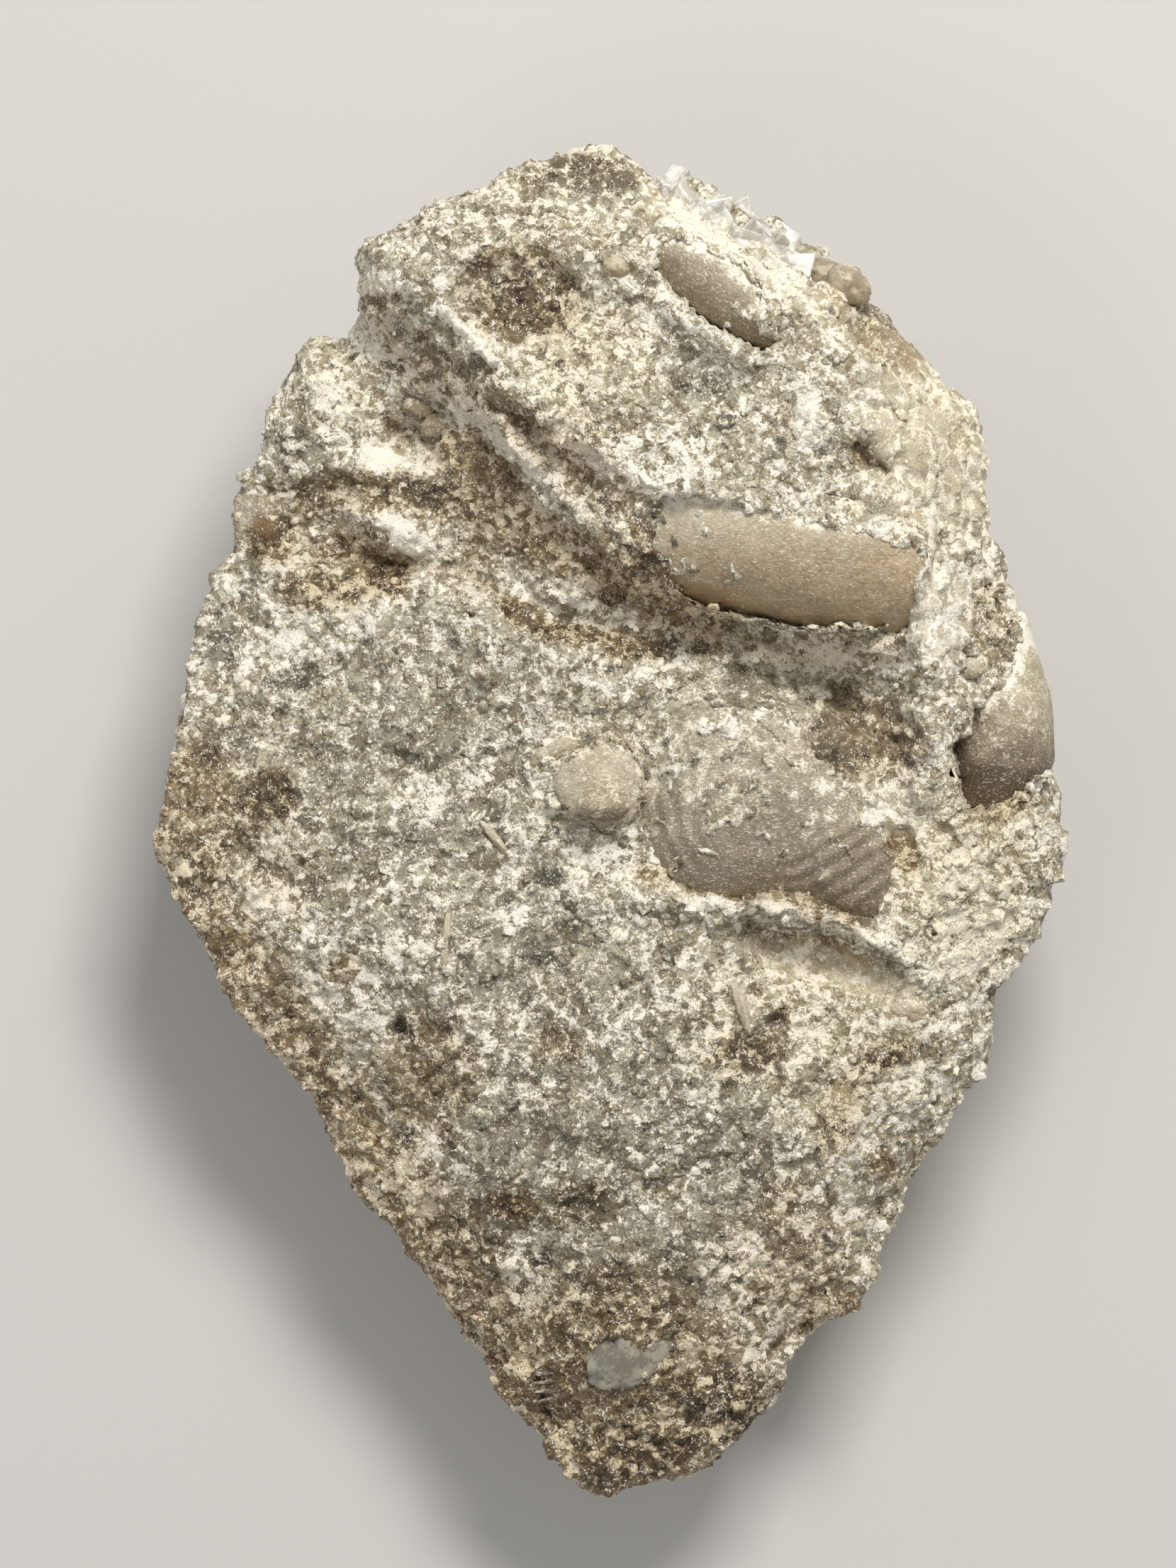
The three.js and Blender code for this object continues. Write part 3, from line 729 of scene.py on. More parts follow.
grooveLines = {  # corners, width, depth
    "ribGroove": ([(-6.7, 25.4), (-5.0, 23.6), (-3.2, 22.1), (-1.4, 20.7), (0.2, 19.4)], 0.6, 0.6),
    "secondGroove": ([(-8.2, 23.6), (-6.8, 21.8), (-5.4, 20.2), (-4.6, 19.4)], 0.55, 0.8),
    "slit": ([(14.2, 22.5), (15.3, 21.4), (16.9, 19.9)], 0.34, 1.1),
    "rimSlit": ([(15.8, 24.6), (17.0, 23.6), (17.6, 23.2)], 0.25, 0.5),
    "crack": ([(12.0, 19.9), (14.0, 18.9), (16.2, 17.6)], 0.14, 0.35),
    "uprightCrack": ([(10.5, 25.2), (10.8, 23.6), (11.0, 22.0)], 0.2, 0.6),
    "underArc": (
        [(-9.5, 31.2), (-7.5, 32.2), (-5.5, 32.8), (-3.4, 32.5), (-1.6, 31.5), (-0.2, 30.8)],
        0.8, 0.4,
    ),
    "platformFoot": (
        [(-15.2, 14.4), (-12.8, 14.9), (-10.4, 15.2), (-8.4, 14.9), (-6.6, 13.6), (-5.2, 11.9), (-3.2, 11.2)],
        0.6, 0.8,
    ),
    "castFoot": ([(1.2, 13.6), (3.4, 12.6), (6.0, 11.6), (9.0, 10.9), (12.0, 10.4)], 0.6, 0.3),
    "lowerGroove": ([(-1.4, 15.0), (0.6, 13.6), (2.4, 12.5)], 0.4, 0.35),
    "arcSlot": ([(7.0, 8.6), (8.2, 9.0), (9.2, 8.8), (10.3, 8.2)], 0.32, 0.8),
    "uprightSlot": ([(17.2, 8.2), (17.6, 7.2)], 0.3, 0.6),
    "recessFoot": ([(12.2, 3.9), (14.4, 3.6), (16.4, 4.4), (18.2, 4.9)], 0.6, 0.6),
    "shieldFoot": ([(2.2, -3.7), (5.6, -3.9), (9.4, -4.1), (12.4, -4.6), (15.4, -6.0)], 0.45, 0.7),
    "scoopShade": ([(-13.4, 23.7), (-12.0, 23.1), (-10.8, 22.5)], 0.5, 0.7),
    "crossSlot": ([(-10.1, -5.2), (-10.0, -7.0), (-9.9, -8.4)], 0.25, 0.4),
    "lowStep": ([(12.4, -29.4), (10.8, -30.4), (9.4, -31.6)], 0.6, 0.8),
}

swells = {  # and hollows, with a negative height: middle, half sizes, turn, height
    "leftHollow": ((-15.4, 15.8), (2.6, 1.3), -10, -0.8),
    "middleHollow": ((-12.4, 15.4), (1.6, 0.9), 10, -0.5),
    "scoop": ((-12.3, 21.8), (2.6, 1.5), -12, -0.7),
    "roundCast": ((-11.0, 23.9), (1.9, 1.5), -30, -0.6),
    "pit": ((0.6, 13.3), (1.0, 0.7), 20, -0.8),
    "recess": ((15.2, 6.4), (3.2, 2.2), -15, -0.45),
    "greyHollow": ((5.4, 26.0), (3.0, 1.7), -25, -0.3),
    "upperHollow": ((-5.0, 30.6), (4.2, 1.9), 0, -0.5),
    "cornerLump": ((-23.4, -5.8), (2.2, 1.4), -30, 0.6),
    "tipPit": ((-3.4, -25.8), (1.3, 1.0), 0, -0.6),
    "roundHole": ((-12.2, -12.0), (0.8, 0.8), 0, -0.6),
    "valleyLump": ((6.6, 9.6), (1.5, 0.8), 10, 0.4),
    "valleyKnob": ((10.0, 9.9), (1.2, 0.7), -20, 0.45),
    "valleyEnd": ((14.2, 9.6), (1.6, 0.8), 15, 0.4),
    "smallHole": ((-9.8, -12.3), (0.7, 0.7), 0, -0.4),
}


def reliefAt(places):  # height added to the fossil face, at places that are already a little bent
    s = reliefSetup
    lift = np.zeros(len(places))
    raised = [(line, width, height, s["ridgeEnds"]) for line, width, height in ridgeLines.values()]
    sunk = [(line, width, -depth, s["grooveEnds"]) for line, width, depth in grooveLines.values()]
    for line, width, height, bluntness in (*raised, *sunk):
        near = nearbyOnly(places, line, s["reach"] * width)
        distance, share = alongLine(places[near], line)
        taper = ease(bluntness * share) * ease(bluntness * (1 - share))
        lift[near] += height * taper * np.exp(-((distance / width) ** 2))
    for middle, half, turn, height in swells.values():
        lift += height * ease(s["swellSlope"] - np.hypot(*(turned(places - middle, turn) / half).T))
    return lift


# Tints of the face. Lines: corners, width, strength. Spots: middle, half sizes, turn, strength
tints = {
    # brown: the stone's own brown and golden staining, and painted shade under lips and ledges, on slopes
    # turned from the light and in hollows
    "brown": {
        "lines": [
            # painted shadow under the lip over the trough
            ([(8.6, -6.3), (11.0, -6.6), (14.0, -7.5), (15.6, -8.2)], 0.3, 0.5),
            # the cliffs below the crest: their own brown, and painted shade on these slopes turned from the
            # light
            ([(-13.6, 30.5), (-11.4, 27.4), (-8.6, 25.6), (-5.0, 23.4), (0.8, 19.0)], 1.4, 0.5),
            ([(-8.8, 21.6), (-5.4, 18.0), (-1.6, 15.6), (2.6, 13.8), (6.0, 11.6)], 1.7, 0.8),
            # painted shadow under the ledge of the scoop, then under the arc-shaped step, then at the foot of
            # the ribbed shield
            ([(-15.5, 19.6), (-12.0, 19.2), (-8.4, 18.6), (-4.6, 16.4)], 1.0, 0.7),
            ([(-7.6, 32.6), (-5.2, 33.3), (-2.6, 32.8)], 0.6, 0.6),
            ([(2.4, -3.0), (6.0, -3.4), (10.0, -4.0), (14.6, -5.6)], 0.8, 0.7),
            (
                [(-26.0, -3.0), (-22.0, -10.0), (-18.0, -16.0), (-13.0, -22.0), (-8.0, -29.0), (1.0, -40.0)],
                3.4, 0.75,
            ),
            # painted shade by the large cast's left end, at the feet of ledges, and below the large cast
            ([(2.0, 17.2), (2.8, 15.0), (4.4, 12.6)], 0.7, 0.8),
            ([(-5.6, 12.6), (-3.2, 11.3), (-0.4, 10.6), (2.8, 10.2)], 0.8, 0.9),
            ([(-18.2, 13.6), (-15.4, 13.6), (-12.6, 14.4)], 1.1, 0.9),
            ([(5.6, 10.6), (9.0, 10.3), (12.6, 10.2), (16.6, 10.0)], 1.0, 0.5),
        ],
        # painted shade in the spots at (-4.5, 30.2) and (-15.0, 15.8) in hollows, at (-10.4, 19.4) under the
        # scoop, at (15.3, 5.0) in the recess and at (23.6, 0.9) below the edge cast
        "spots": [
            ((-1.0, 38.2), (5.0, 1.4), 5, 0.25), ((2.0, -37.4), (5.2, 2.4), 20, 0.9),
            ((-7.4, 16.6), (1.8, 1.4), -40, 0.5), ((-10.4, 19.4), (1.9, 1.0), -20, 0.7),
            ((10.4, -22.4), (1.9, 1.5), 30, 0.6), ((16.6, -13.4), (1.9, 1.3), 20, 0.6),
            ((10.2, -11.4), (0.6, 0.45), 0, 0.8), ((-4.5, 30.2), (3.6, 2.4), 0, 0.7),
            ((-15.0, 15.8), (3.4, 2.0), 0, 0.5), ((15.3, 5.0), (3.9, 2.7), -18, 0.5),
            ((14.4, 30.6), (2.2, 1.4), -40, 0.5), ((22.6, 12.0), (1.3, 2.8), 0, 0.5),
            ((23.6, 0.9), (2.4, 0.9), 15, 0.6), ((-17.4, 19.0), (3.4, 1.4), 0, 0.45),
            ((-24.0, 0.6), (3.2, 5.0), 0, 0.7), ((-22.0, -0.4), (1.3, 0.9), -40, 0.6),
            ((-19.0, -3.2), (3.0, 3.0), 0, 0.3), ((-15.4, -8.6), (1.2, 1.0), 50, 0.6),
            ((-10.4, -15.0), (3.4, 4.4), 0, 0.5), ((-5.5, -22.5), (1.9, 1.1), 0, 1.0),
            ((-2.8, -13.0), (1.8, 1.4), 0, 0.5), ((0.0, -33.5), (10.0, 8.5), 0, 0.8),
            ((10.5, -26.0), (5.0, 5.0), 0, 0.35), ((16.3, -20.0), (1.3, 1.0), 0, 0.7),
            ((13.4, -29.0), (2.8, 1.2), 25, 0.7), ((17.4, -1.6), (1.1, 1.2), 0, 0.8),
            ((-19.6, 16.6), (1.8, 1.7), 0, 0.9), ((-19.8, 1.4), (2.2, 2.0), 30, 0.9),
            ((16.6, 28.4), (1.8, 2.8), 42, 0.5), ((8.2, -13.6), (2.4, 1.5), 10, 0.7),
            ((13.8, -17.0), (1.6, 3.4), -20, 0.6), ((-1.4, -22.4), (2.4, 1.8), 0, 0.6),
            ((7.0, -34.6), (3.4, 2.6), 45, 0.9),
        ],
    },
    "cream": {
        "lines": [
            ([(2.0, 37.5), (6.0, 34.5), (11.0, 31.8), (15.5, 28.5), (19.5, 24.5)], 1.6, 0.4),
        ],
        "spots": [
            ((19.2, 21.6), (4.6, 6.0), 10, 0.7), ((-1.0, 26.5), (4.0, 5.0), -20, 0.7),
            ((-4.0, 36.0), (9.0, 3.4), 12, 0.3), ((21.0, -3.0), (5.0, 7.0), 0, 0.8),
            ((12.0, -12.0), (9.0, 6.0), 0, 0.6), ((-16.0, 26.0), (3.4, 3.4), 0, 0.4),
            ((11.5, -27.0), (3.4, 2.6), 0, 0.6), ((-1.0, 3.0), (3.0, 3.4), 0, 0.4),
        ],
    },
    "dark": {
        # dark: the stone's own dark patches, and painted shade at the feet of ledges, beside ribs and in
        # hollows
        "lines": [
            # painted shade at the foot of the platform and of the ledge below the cliff
            ([(-18.2, 13.6), (-15.4, 13.6), (-12.6, 14.4)], 0.9, 0.5),
            ([(-5.6, 12.6), (-3.2, 11.3), (-0.4, 10.6), (2.8, 10.2)], 0.7, 0.4),
            # painted shade on the side of each stria turned from the light
            ([(12.2, 6.0), (15.0, 5.7), (18.0, 4.6)], 0.25, 0.8),
            ([(12.0, 7.2), (14.6, 6.9), (17.6, 5.9)], 0.22, 0.7),
            ([(13.6, 4.6), (16.0, 4.2), (18.2, 3.7)], 0.3, 0.8),
        ],
        # painted shade in the spots at (14.0, 4.6) and (15.0, 4.9) in the recess, at (-4.6, 30.6) in a
        # hollow, at (-10.6, 19.4) under the scoop, at (3.2, 16.2) and (4.6, 10.4) by the large cast, and at
        # (-4.2, 10.6) at a ledge's foot
        "spots": [
            ((-8.0, 34.4), (3.4, 1.8), 20, 0.3), ((-12.6, -1.8), (3.2, 2.0), 20, 0.45),
            ((-19.8, 1.4), (2.2, 2.0), 30, 0.7), ((8.2, -13.6), (2.4, 1.5), 10, 0.8),
            ((10.2, -11.4), (0.6, 0.45), 0, 0.6), ((15.0, 4.9), (3.2, 1.8), -18, 0.25),
            ((-19.6, 7.4), (1.6, 1.7), 0, 0.6), ((-22.4, 10.4), (1.4, 1.8), -20, 0.6),
            ((16.6, -13.4), (1.9, 1.3), 20, 0.6), ((-1.4, -22.4), (2.4, 1.8), 0, 0.7),
            ((7.0, -34.6), (3.4, 2.6), 45, 0.8), ((-9.0, -2.0), (11.0, 15.0), 12, 0.35),
            ((0.0, -20.0), (12.0, 14.0), 0, 0.4), ((1.0, -33.0), (8.0, 7.0), 0, 0.3),
            ((-4.0, -7.6), (1.4, 1.1), 0, 0.8), ((-3.6, -3.2), (1.0, 0.8), -30, 0.9),
            ((-6.0, -4.8), (0.9, 0.8), 0, 0.7), ((-7.6, -9.4), (1.3, 0.9), 0, 0.5),
            ((-17.8, 8.6), (1.6, 0.9), 0, 0.8), ((-18.6, 1.8), (1.4, 1.0), 0, 0.6),
            ((-3.6, -25.8), (1.2, 1.0), 0, 0.8), ((-12.2, -12.0), (0.9, 0.9), 0, 0.7),
            ((-11.8, -18.6), (0.9, 0.6), 0, 0.8), ((4.6, 10.4), (2.4, 0.8), 0, 0.7),
            ((5.8, 25.6), (2.2, 1.4), -25, 0.5), ((-4.6, 30.6), (3.4, 2.2), 0, 0.6),
            ((-4.2, 10.6), (1.4, 0.7), -30, 0.5), ((3.6, -28.4), (1.2, 0.9), 0, 0.5),
            ((-6.0, -19.0), (1.0, 0.8), 0, 0.4), ((-22.4, 4.6), (2.0, 1.5), 0, 0.5),
            ((-18.4, 22.6), (2.6, 1.3), 0, 0.5), ((-20.0, 16.6), (1.4, 1.3), 0, 0.5),
            ((-10.6, 19.4), (1.7, 1.1), -20, 0.6), ((9.0, 7.7), (2.8, 1.2), -10, 0.35),
            ((-1.0, 37.8), (3.6, 1.6), 0, 0.6), ((22.8, 12.0), (1.2, 2.4), 0, 0.3),
            ((3.2, 16.2), (1.2, 2.2), 0, 0.5), ((14.0, 4.6), (2.2, 1.4), -10, 0.85),
            ((2.4, -37.4), (4.6, 1.8), 20, 0.7), ((16.2, 28.6), (1.8, 2.8), 42, 0.5),
            ((-22.6, -1.6), (3.4, 1.8), 0, 0.4),
        ],
    },
    "sugary": {
        "lines": [],
        "spots": [
            ((-10.0, 4.0), (13.0, 9.5), 10, 1.0), ((-6.0, -9.0), (9.0, 10.0), 0, 0.9),
            ((0.0, 4.0), (5.0, 5.0), 0, 0.6), ((15.0, 6.4), (4.2, 3.0), -15, 0.7),
        ],
    },
    "spar": {
        "lines": [
            ([(3.0, 36.6), (8.0, 33.6), (12.0, 31.2), (15.6, 28.0)], 1.1, 0.8),
        ],
        "spots": [
            ((19.0, 22.0), (3.8, 6.6), 25, 1.0), ((19.6, 12.4), (1.9, 3.6), 0, 1.0),
            ((17.6, 0.4), (2.2, 2.6), 0, 0.6),
        ],
    },
    "smooth": {
        "lines": [],
        "spots": [
            ((13.0, -8.5), (5.8, 1.35), -17, 0.85), ((17.0, -10.4), (2.2, 1.0), -15, 0.8),
            ((8.0, -10.6), (0.45, 1.5), 15, 1.0), ((17.8, 27.6), (1.6, 2.4), 40, 0.8),
            ((-20.8, 18.0), (1.4, 1.6), 0, 0.8), ((-11.8, 21.4), (2.4, 1.1), -12, 0.7),
            ((-11.7, 17.2), (1.9, 1.0), -35, 0.5), ((14.3, 31.6), (1.4, 1.0), -40, 0.8),
            ((15.2, 5.4), (3.2, 2.0), -18, 0.5),
        ],
    },
    "frost": {
        "lines": [
            ([(4.8, 10.6), (8.6, 10.0), (12.6, 9.8), (17.0, 9.6)], 0.9, 0.7),
            ([(-8.6, 24.4), (-7.0, 22.9), (-6.0, 21.6)], 0.6, 0.8),
            ([(-3.0, 23.4), (-1.4, 21.8), (0.4, 20.6)], 0.6, 0.7),
            ([(-12.9, 17.8), (-11.8, 17.2), (-10.4, 16.0)], 0.6, 1.6),
            ([(-13.8, 31.4), (-12.8, 31.8), (-11.6, 31.2)], 0.5, 1.2),
            # white calcite along the sharp crest, and painted highlight on its lit top
            ([(-9.8, 30.1), (-8.2, 28.6), (-6.2, 26.6)], 0.35, 1.6),
            ([(-5.7, 22.3), (-5.0, 21.5), (-4.2, 20.9)], 0.4, 1.4),
            ([(3.6, 36.0), (7.8, 33.2), (11.6, 31.0)], 0.5, 1.0),
            # white calcite on the lip over the trough, and painted highlight on its lit north side
            ([(5.4, -4.6), (9.5, -4.8), (12.0, -5.4), (15.0, -6.5), (19.2, -8.4)], 0.35, 0.7),
        ],
        "spots": [
            ((-5.2, 2.4), (3.6, 5.4), 0, 0.4), ((-2.6, -12.6), (5.0, 4.0), 0, 0.3),
            ((21.6, -5.4), (3.2, 3.4), 0, 0.6), ((0.2, -3.4), (4.0, 3.0), 10, 0.5),
            ((-13.6, 28.4), (1.7, 1.4), 0, 0.8), ((-14.4, -10.4), (4.2, 2.2), -30, 0.6),
            ((-4.6, -26.6), (1.8, 3.0), 0, 0.6), ((7.6, -25.2), (2.2, 1.6), 0, 0.6),
            ((-11.0, -19.6), (1.4, 1.8), -30, 0.6), ((-13.3, 21.6), (1.3, 1.0), -20, 2.0),
            ((-10.7, 21.2), (1.5, 0.9), 0, 0.8), ((-5.4, -5.4), (1.2, 0.8), 0, 0.8),
            ((-17.0, 11.8), (5.0, 2.4), 20, 0.6), ((-12.4, -7.0), (1.1, 0.9), 0, 0.8),
            ((-3.2, 1.6), (1.6, 2.6), 0, 0.6), ((11.8, 24.0), (0.9, 2.2), 0, 1.0),
            ((12.0, -12.2), (1.4, 1.0), 0, 0.5), ((-4.4, -16.6), (1.6, 1.4), 0, 0.6),
            ((-13.6, 31.6), (1.3, 0.8), 0, 0.9), ((-7.6, 28.2), (2.0, 1.0), -45, 1.0),
            ((6.9, -36.0), (0.8, 0.7), 0, 0.9), ((15.8, 0.6), (1.1, 0.9), 0, 1.0),
            ((12.8, -8.6), (4.2, 1.0), -17, 0.5), ((-16.6, 25.4), (1.7, 1.5), 0, 0.9),
            ((-12.4, 28.6), (2.2, 1.2), -30, 0.6), ((-1.6, 13.7), (1.5, 1.2), 0, 0.9),
            ((-10.8, 1.4), (1.8, 1.6), 0, 0.6), ((-19.0, -5.0), (3.6, 1.6), -20, 0.6),
            ((1.6, -10.6), (3.8, 1.6), 0, 0.5), ((4.4, -16.4), (1.6, 1.3), 0, 0.5),
            ((-10.6, -22.2), (1.4, 1.4), 0, 0.8), ((3.6, 21.4), (3.4, 2.4), -20, 0.5),
            ((16.6, 17.6), (1.6, 3.6), 0, 0.5), ((-4.6, -31.4), (1.3, 1.3), 0, 0.7),
            ((4.6, -31.0), (1.2, 1.6), 0, 0.7),
        ],
    },
}

tintEdges = {"reach": 2, "line": 1.5, "spot": 1.5, "spotSize": 1.2}  # how softly the tints end


def tintAt(name, places):
    s = tintEdges
    total = np.zeros(len(places))
    for line, width, strength in tints[name]["lines"]:
        near = nearbyOnly(places, line, s["reach"] * width)
        distance = alongLine(places[near], line)[0]
        total[near] = np.maximum(total[near], strength * ease(s["line"] - distance / width))
    for middle, half, turn, strength in tints[name]["spots"]:
        offset = turned(places - middle, turn) / half
        total = np.maximum(total, strength * ease(s["spot"] * (s["spotSize"] - np.hypot(*offset.T))))
    return total


rodFinish = {
    "wear": [(0.35, 5.0, 2.2, 2), (0.07, 0.7, 4.4, 3)],  # height, size, seed, octaves
    "shadeAcross": 0.75,  # how fast a rod turns to its low colour on its shaded side, where that colour is painted shade in part
    "lowPatches": [(0.25, 1.6, 8.1, 2)],
    "rimWidth": 1.2,  # how far in from its outline it is frosted
    "rimLow": 1.1,  # less frosted, the more of the low colour there is
}


def rodPoints(ball, rod):  # a ball drawn out into a rod, with where each corner is round it and along it
    start, end = (np.array(rod[key], float) for key in ("from", "to"))
    axis = (end - start) / np.linalg.norm(end - start)
    side = np.cross((0, 0, 1), axis)
    side /= np.linalg.norm(side)
    up = np.cross(axis, side)
    share = np.arcsin(np.clip(ball[:, 2], -1, 1)) / np.pi + 0.5
    bluntness = rod["bluntness"]
    girth = np.maximum(1 - np.abs(2 * share - 1) ** bluntness, 0) ** (1 / bluntness)
    girth *= np.interp(share, *np.transpose(rod["radii"]))
    ring = ball[:, :2] / np.maximum(np.hypot(*ball[:, :2].T), tiny)[:, None]
    out = ring[:, :1] * side + ring[:, 1:] * up * rod["depth"]
    bend = rod["bend"] * np.sin(np.pi * share)
    middle = start + share[:, None] * (end - start) + bend[:, None] * side
    return middle + girth[:, None] * out, ring, share, out


def rodMesh(name, rod):  # a rounded, worn rod between two ends
    s = rodFinish
    mesh = ballMesh(name, rod)
    points, ring, share, out = rodPoints(vectorsOf(mesh.vertices, "co"), rod)
    points += (wornBy(points, s["wear"]) * rod["wear"])[:, None] * out
    setCorners(mesh, points)
    # low colour: painted shade on the side turned from the light, with real browner patches, and more of it
    # towards one end
    across = ring @ np.array(rod["shadedSide"])
    lowness = 0.5 + s["shadeAcross"] * across + rod["lowGain"] * (share - 0.5) + wornBy(points, s["lowPatches"])
    setShare(mesh, "low", ease(lowness))
    rim = ease(1 - insideBy(points[:, :2], rod["outline"]) / s["rimWidth"])
    setShare(mesh, "rim", rim * ease(s["rimLow"] - lowness))
    return mesh


casts = {
    "large_cast": {
        "from": (1.4, 18.4, 16.2),
        "to": (19.0, 15.0, 15.1),
        "radii": [(0, 4.6), (0.3, 5.2), (0.7, 5.2), (1, 4.9)],  # share of the way along, and radius there
        "depth": 1.12,  # beside its width
        "bend": 0.3,  # sideways, at half way
        "bluntness": 7,  # of the ends
        "around": 160,
        "steps": 150,
        "wear": 0.6,
        "shadedSide": (-1, 0.1),  # round the rod, where the low colour is: the side turned from the light, painted shade in part
        "lowGain": 0.7,  # how much more of it there is at the far end
        "look": "cast",
        "turn": -0.19,  # of the specks
        "cling": (1.0, (-0.16, -0.08)),  # how rare the stone on it is, and which way there is more of it
        "outline": [
            (3.2, 18.9), (4.6, 19.1), (6.2, 18.9), (8.2, 18.4), (10.2, 17.9), (12.2, 17.5), (14.2, 17.0),
            (16.4, 16.4), (18.6, 15.7), (18.4, 14.9), (17.9, 14.2), (18.3, 13.2), (17.9, 12.2), (18.0, 11.3),
            (16.4, 11.1), (14.4, 11.4), (12.6, 11.3), (11.2, 11.1), (10.0, 11.4), (8.4, 11.6), (7.0, 11.9),
            (5.7, 12.4), (4.4, 13.1), (3.4, 14.3), (2.7, 15.8), (2.5, 17.4),
        ],
    },
    "upper_cast": {
        "from": (2.5, 34.7, 19.3),
        "to": (11.2, 28.1, 19.2),
        "radii": [(0, 2.2), (0.3, 2.4), (1, 2.2)],
        "depth": 1.08,
        "bend": 0.1,
        "bluntness": 3,
        "around": 110,
        "steps": 110,
        "wear": 0.5,
        "shadedSide": (-1, -0.1),
        "lowGain": 0.2,
        "look": "upper",
        "turn": -0.65,
        "cling": (0.5, (0.12, 0.0)),
        "outline": [
            (2.9, 32.9), (3.3, 33.8), (4.5, 34.1), (5.6, 33.8), (6.7, 33.1), (7.7, 32.4), (8.8, 31.4),
            (9.4, 30.4), (8.7, 29.7), (9.1, 28.9), (10.0, 28.2), (9.2, 27.2), (8.2, 27.4), (7.3, 27.9),
            (6.5, 28.5), (5.8, 29.2), (5.0, 29.9), (4.2, 30.5), (3.4, 31.2), (2.8, 31.9),
        ],
    },
    "edge_cast": {
        "from": (22.6, -0.4, 11.6),
        "to": (24.4, 12.4, 14.4),
        "radii": [(0, 2.7), (0.35, 3.45), (0.65, 2.6), (1, 0.9)],
        "depth": 1.15,
        "bend": 0.2,
        "bluntness": 2.6,
        "around": 120,
        "steps": 110,
        "wear": 0.5,
        "shadedSide": (0.12, -0.1),
        "lowGain": -2.3,
        "look": "edge",
        "turn": 0.2,
        "cling": (9, (0, 0)),
        "outline": [
            (22.5, 7.6), (21.7, 6.8), (21.4, 5.6), (20.5, 4.8), (20.3, 3.8), (20.5, 2.6), (20.8, 1.6),
            (21.3, 0.7), (22.2, 0.7), (23.3, 1.0), (24.4, 1.6), (25.3, 2.5), (27.5, 3.1), (28.0, 6.0),
            (27.0, 10.8), (24.4, 10.6), (23.9, 9.4), (23.6, 8.3),
        ],
    },
}


domes = {
    "ribbed_shield": {
        "middle": (9.2, 1.2),
        "foot": 15.4,  # height of its widest ring
        "rise": 4.1,
        "round": 0.9,  # 1 is an ellipse, and less is boxier
        "grow": 0.9,  # how far it goes on below the stone, past its outline
        "crown": (0.4, 1.6),  # how far the top is pushed from the middle
        "ribs": [
            {
                "centre": (11.8, 2.0), "radius": 5.5, "spacing": 0.98, "rise": 0.08,
                "at": (4.4, 1.4), "half": (2.6, 5.2), "turn": 0,
            },
            {
                "centre": (4.5, 13.3), "radius": 18.6, "spacing": 0.95, "rise": 0.11,
                "at": (14.2, -2.6), "half": (4.2, 3.0), "turn": 30,
            },
        ],
        "look": "shield",
        "patchy": 0.25,  # frosting in patches, towards the top
        "cling": (0.2, (0.0, 0.05)),
        "low": (-0.6, 0.16, 0.9),  # Y of the middle of the change, how fast, and how strong: the low colour grows to the south, away from the light, as painted shade in part
        "around": 240,
        "steps": 160,
        "outline": [
            (3.2, -3.0), (2.6, -1.2), (2.5, 1.6), (2.7, 4.0), (3.4, 6.0), (5.0, 6.9), (7.0, 7.0), (9.0, 6.6),
            (10.8, 5.6), (12.2, 4.0), (13.6, 2.6), (14.8, 1.6), (15.4, 0.2), (16.2, -0.9), (16.8, -2.2),
            (16.8, -3.6), (16.2, -5.0), (15.4, -5.9), (14.0, -5.4), (12.7, -4.7), (11.6, -4.3), (9.6, -4.0),
            (7.6, -4.3), (5.4, -4.2), (4.2, -3.8),
        ],
    },
    "almond_shell": {
        "middle": (-0.3, 2.2),
        "foot": 17.3,
        "rise": 1.2,
        "round": 0.8,
        "grow": 0.3,
        "crown": (0.1, 0.3),
        "ribs": [
            {
                "centre": (1.6, -0.2), "radius": 4.3, "spacing": 0.85, "rise": 0.06,
                "at": (-1.6, 2.8), "half": (1.4, 2.2), "turn": -30,
            },
        ],
        "look": "pale",
        "patchy": 0.0,
        "cling": (9, (0, 0)),
        "low": (0.2, 0.5, 0.8),
        "around": 90,
        "steps": 60,
        "outline": [
            (-3.0, 2.4), (-2.5, 3.4), (-1.4, 4.0), (0.0, 4.3), (1.2, 4.4), (1.8, 3.6), (2.0, 2.6),
            (1.9, 1.5), (1.4, 0.4), (0.7, -0.2), (-0.3, -0.2), (-1.3, 0.2), (-2.1, 0.8), (-2.7, 1.6),
        ],
    },
}


def reachOf(angles, middle, outline):  # from the middle to a closed outline, on each bearing
    ways = np.stack((np.cos(angles), np.sin(angles)), 1)
    corners = np.array(outline) - middle
    reach = np.zeros(len(angles))
    for start, end in zip(corners, np.roll(corners, -1, 0)):
        side = end - start
        slant = ways[:, 0] * side[1] - ways[:, 1] * side[0]
        slant = np.where(np.abs(slant) < tiny, tiny, slant)
        share = (start[0] * ways[:, 1] - start[1] * ways[:, 0]) / slant
        gap = (start[0] * side[1] - start[1] * side[0]) / slant
        reach = np.where((share >= 0) & (share <= 1) & (gap > 0), np.maximum(reach, gap), reach)
    return reach


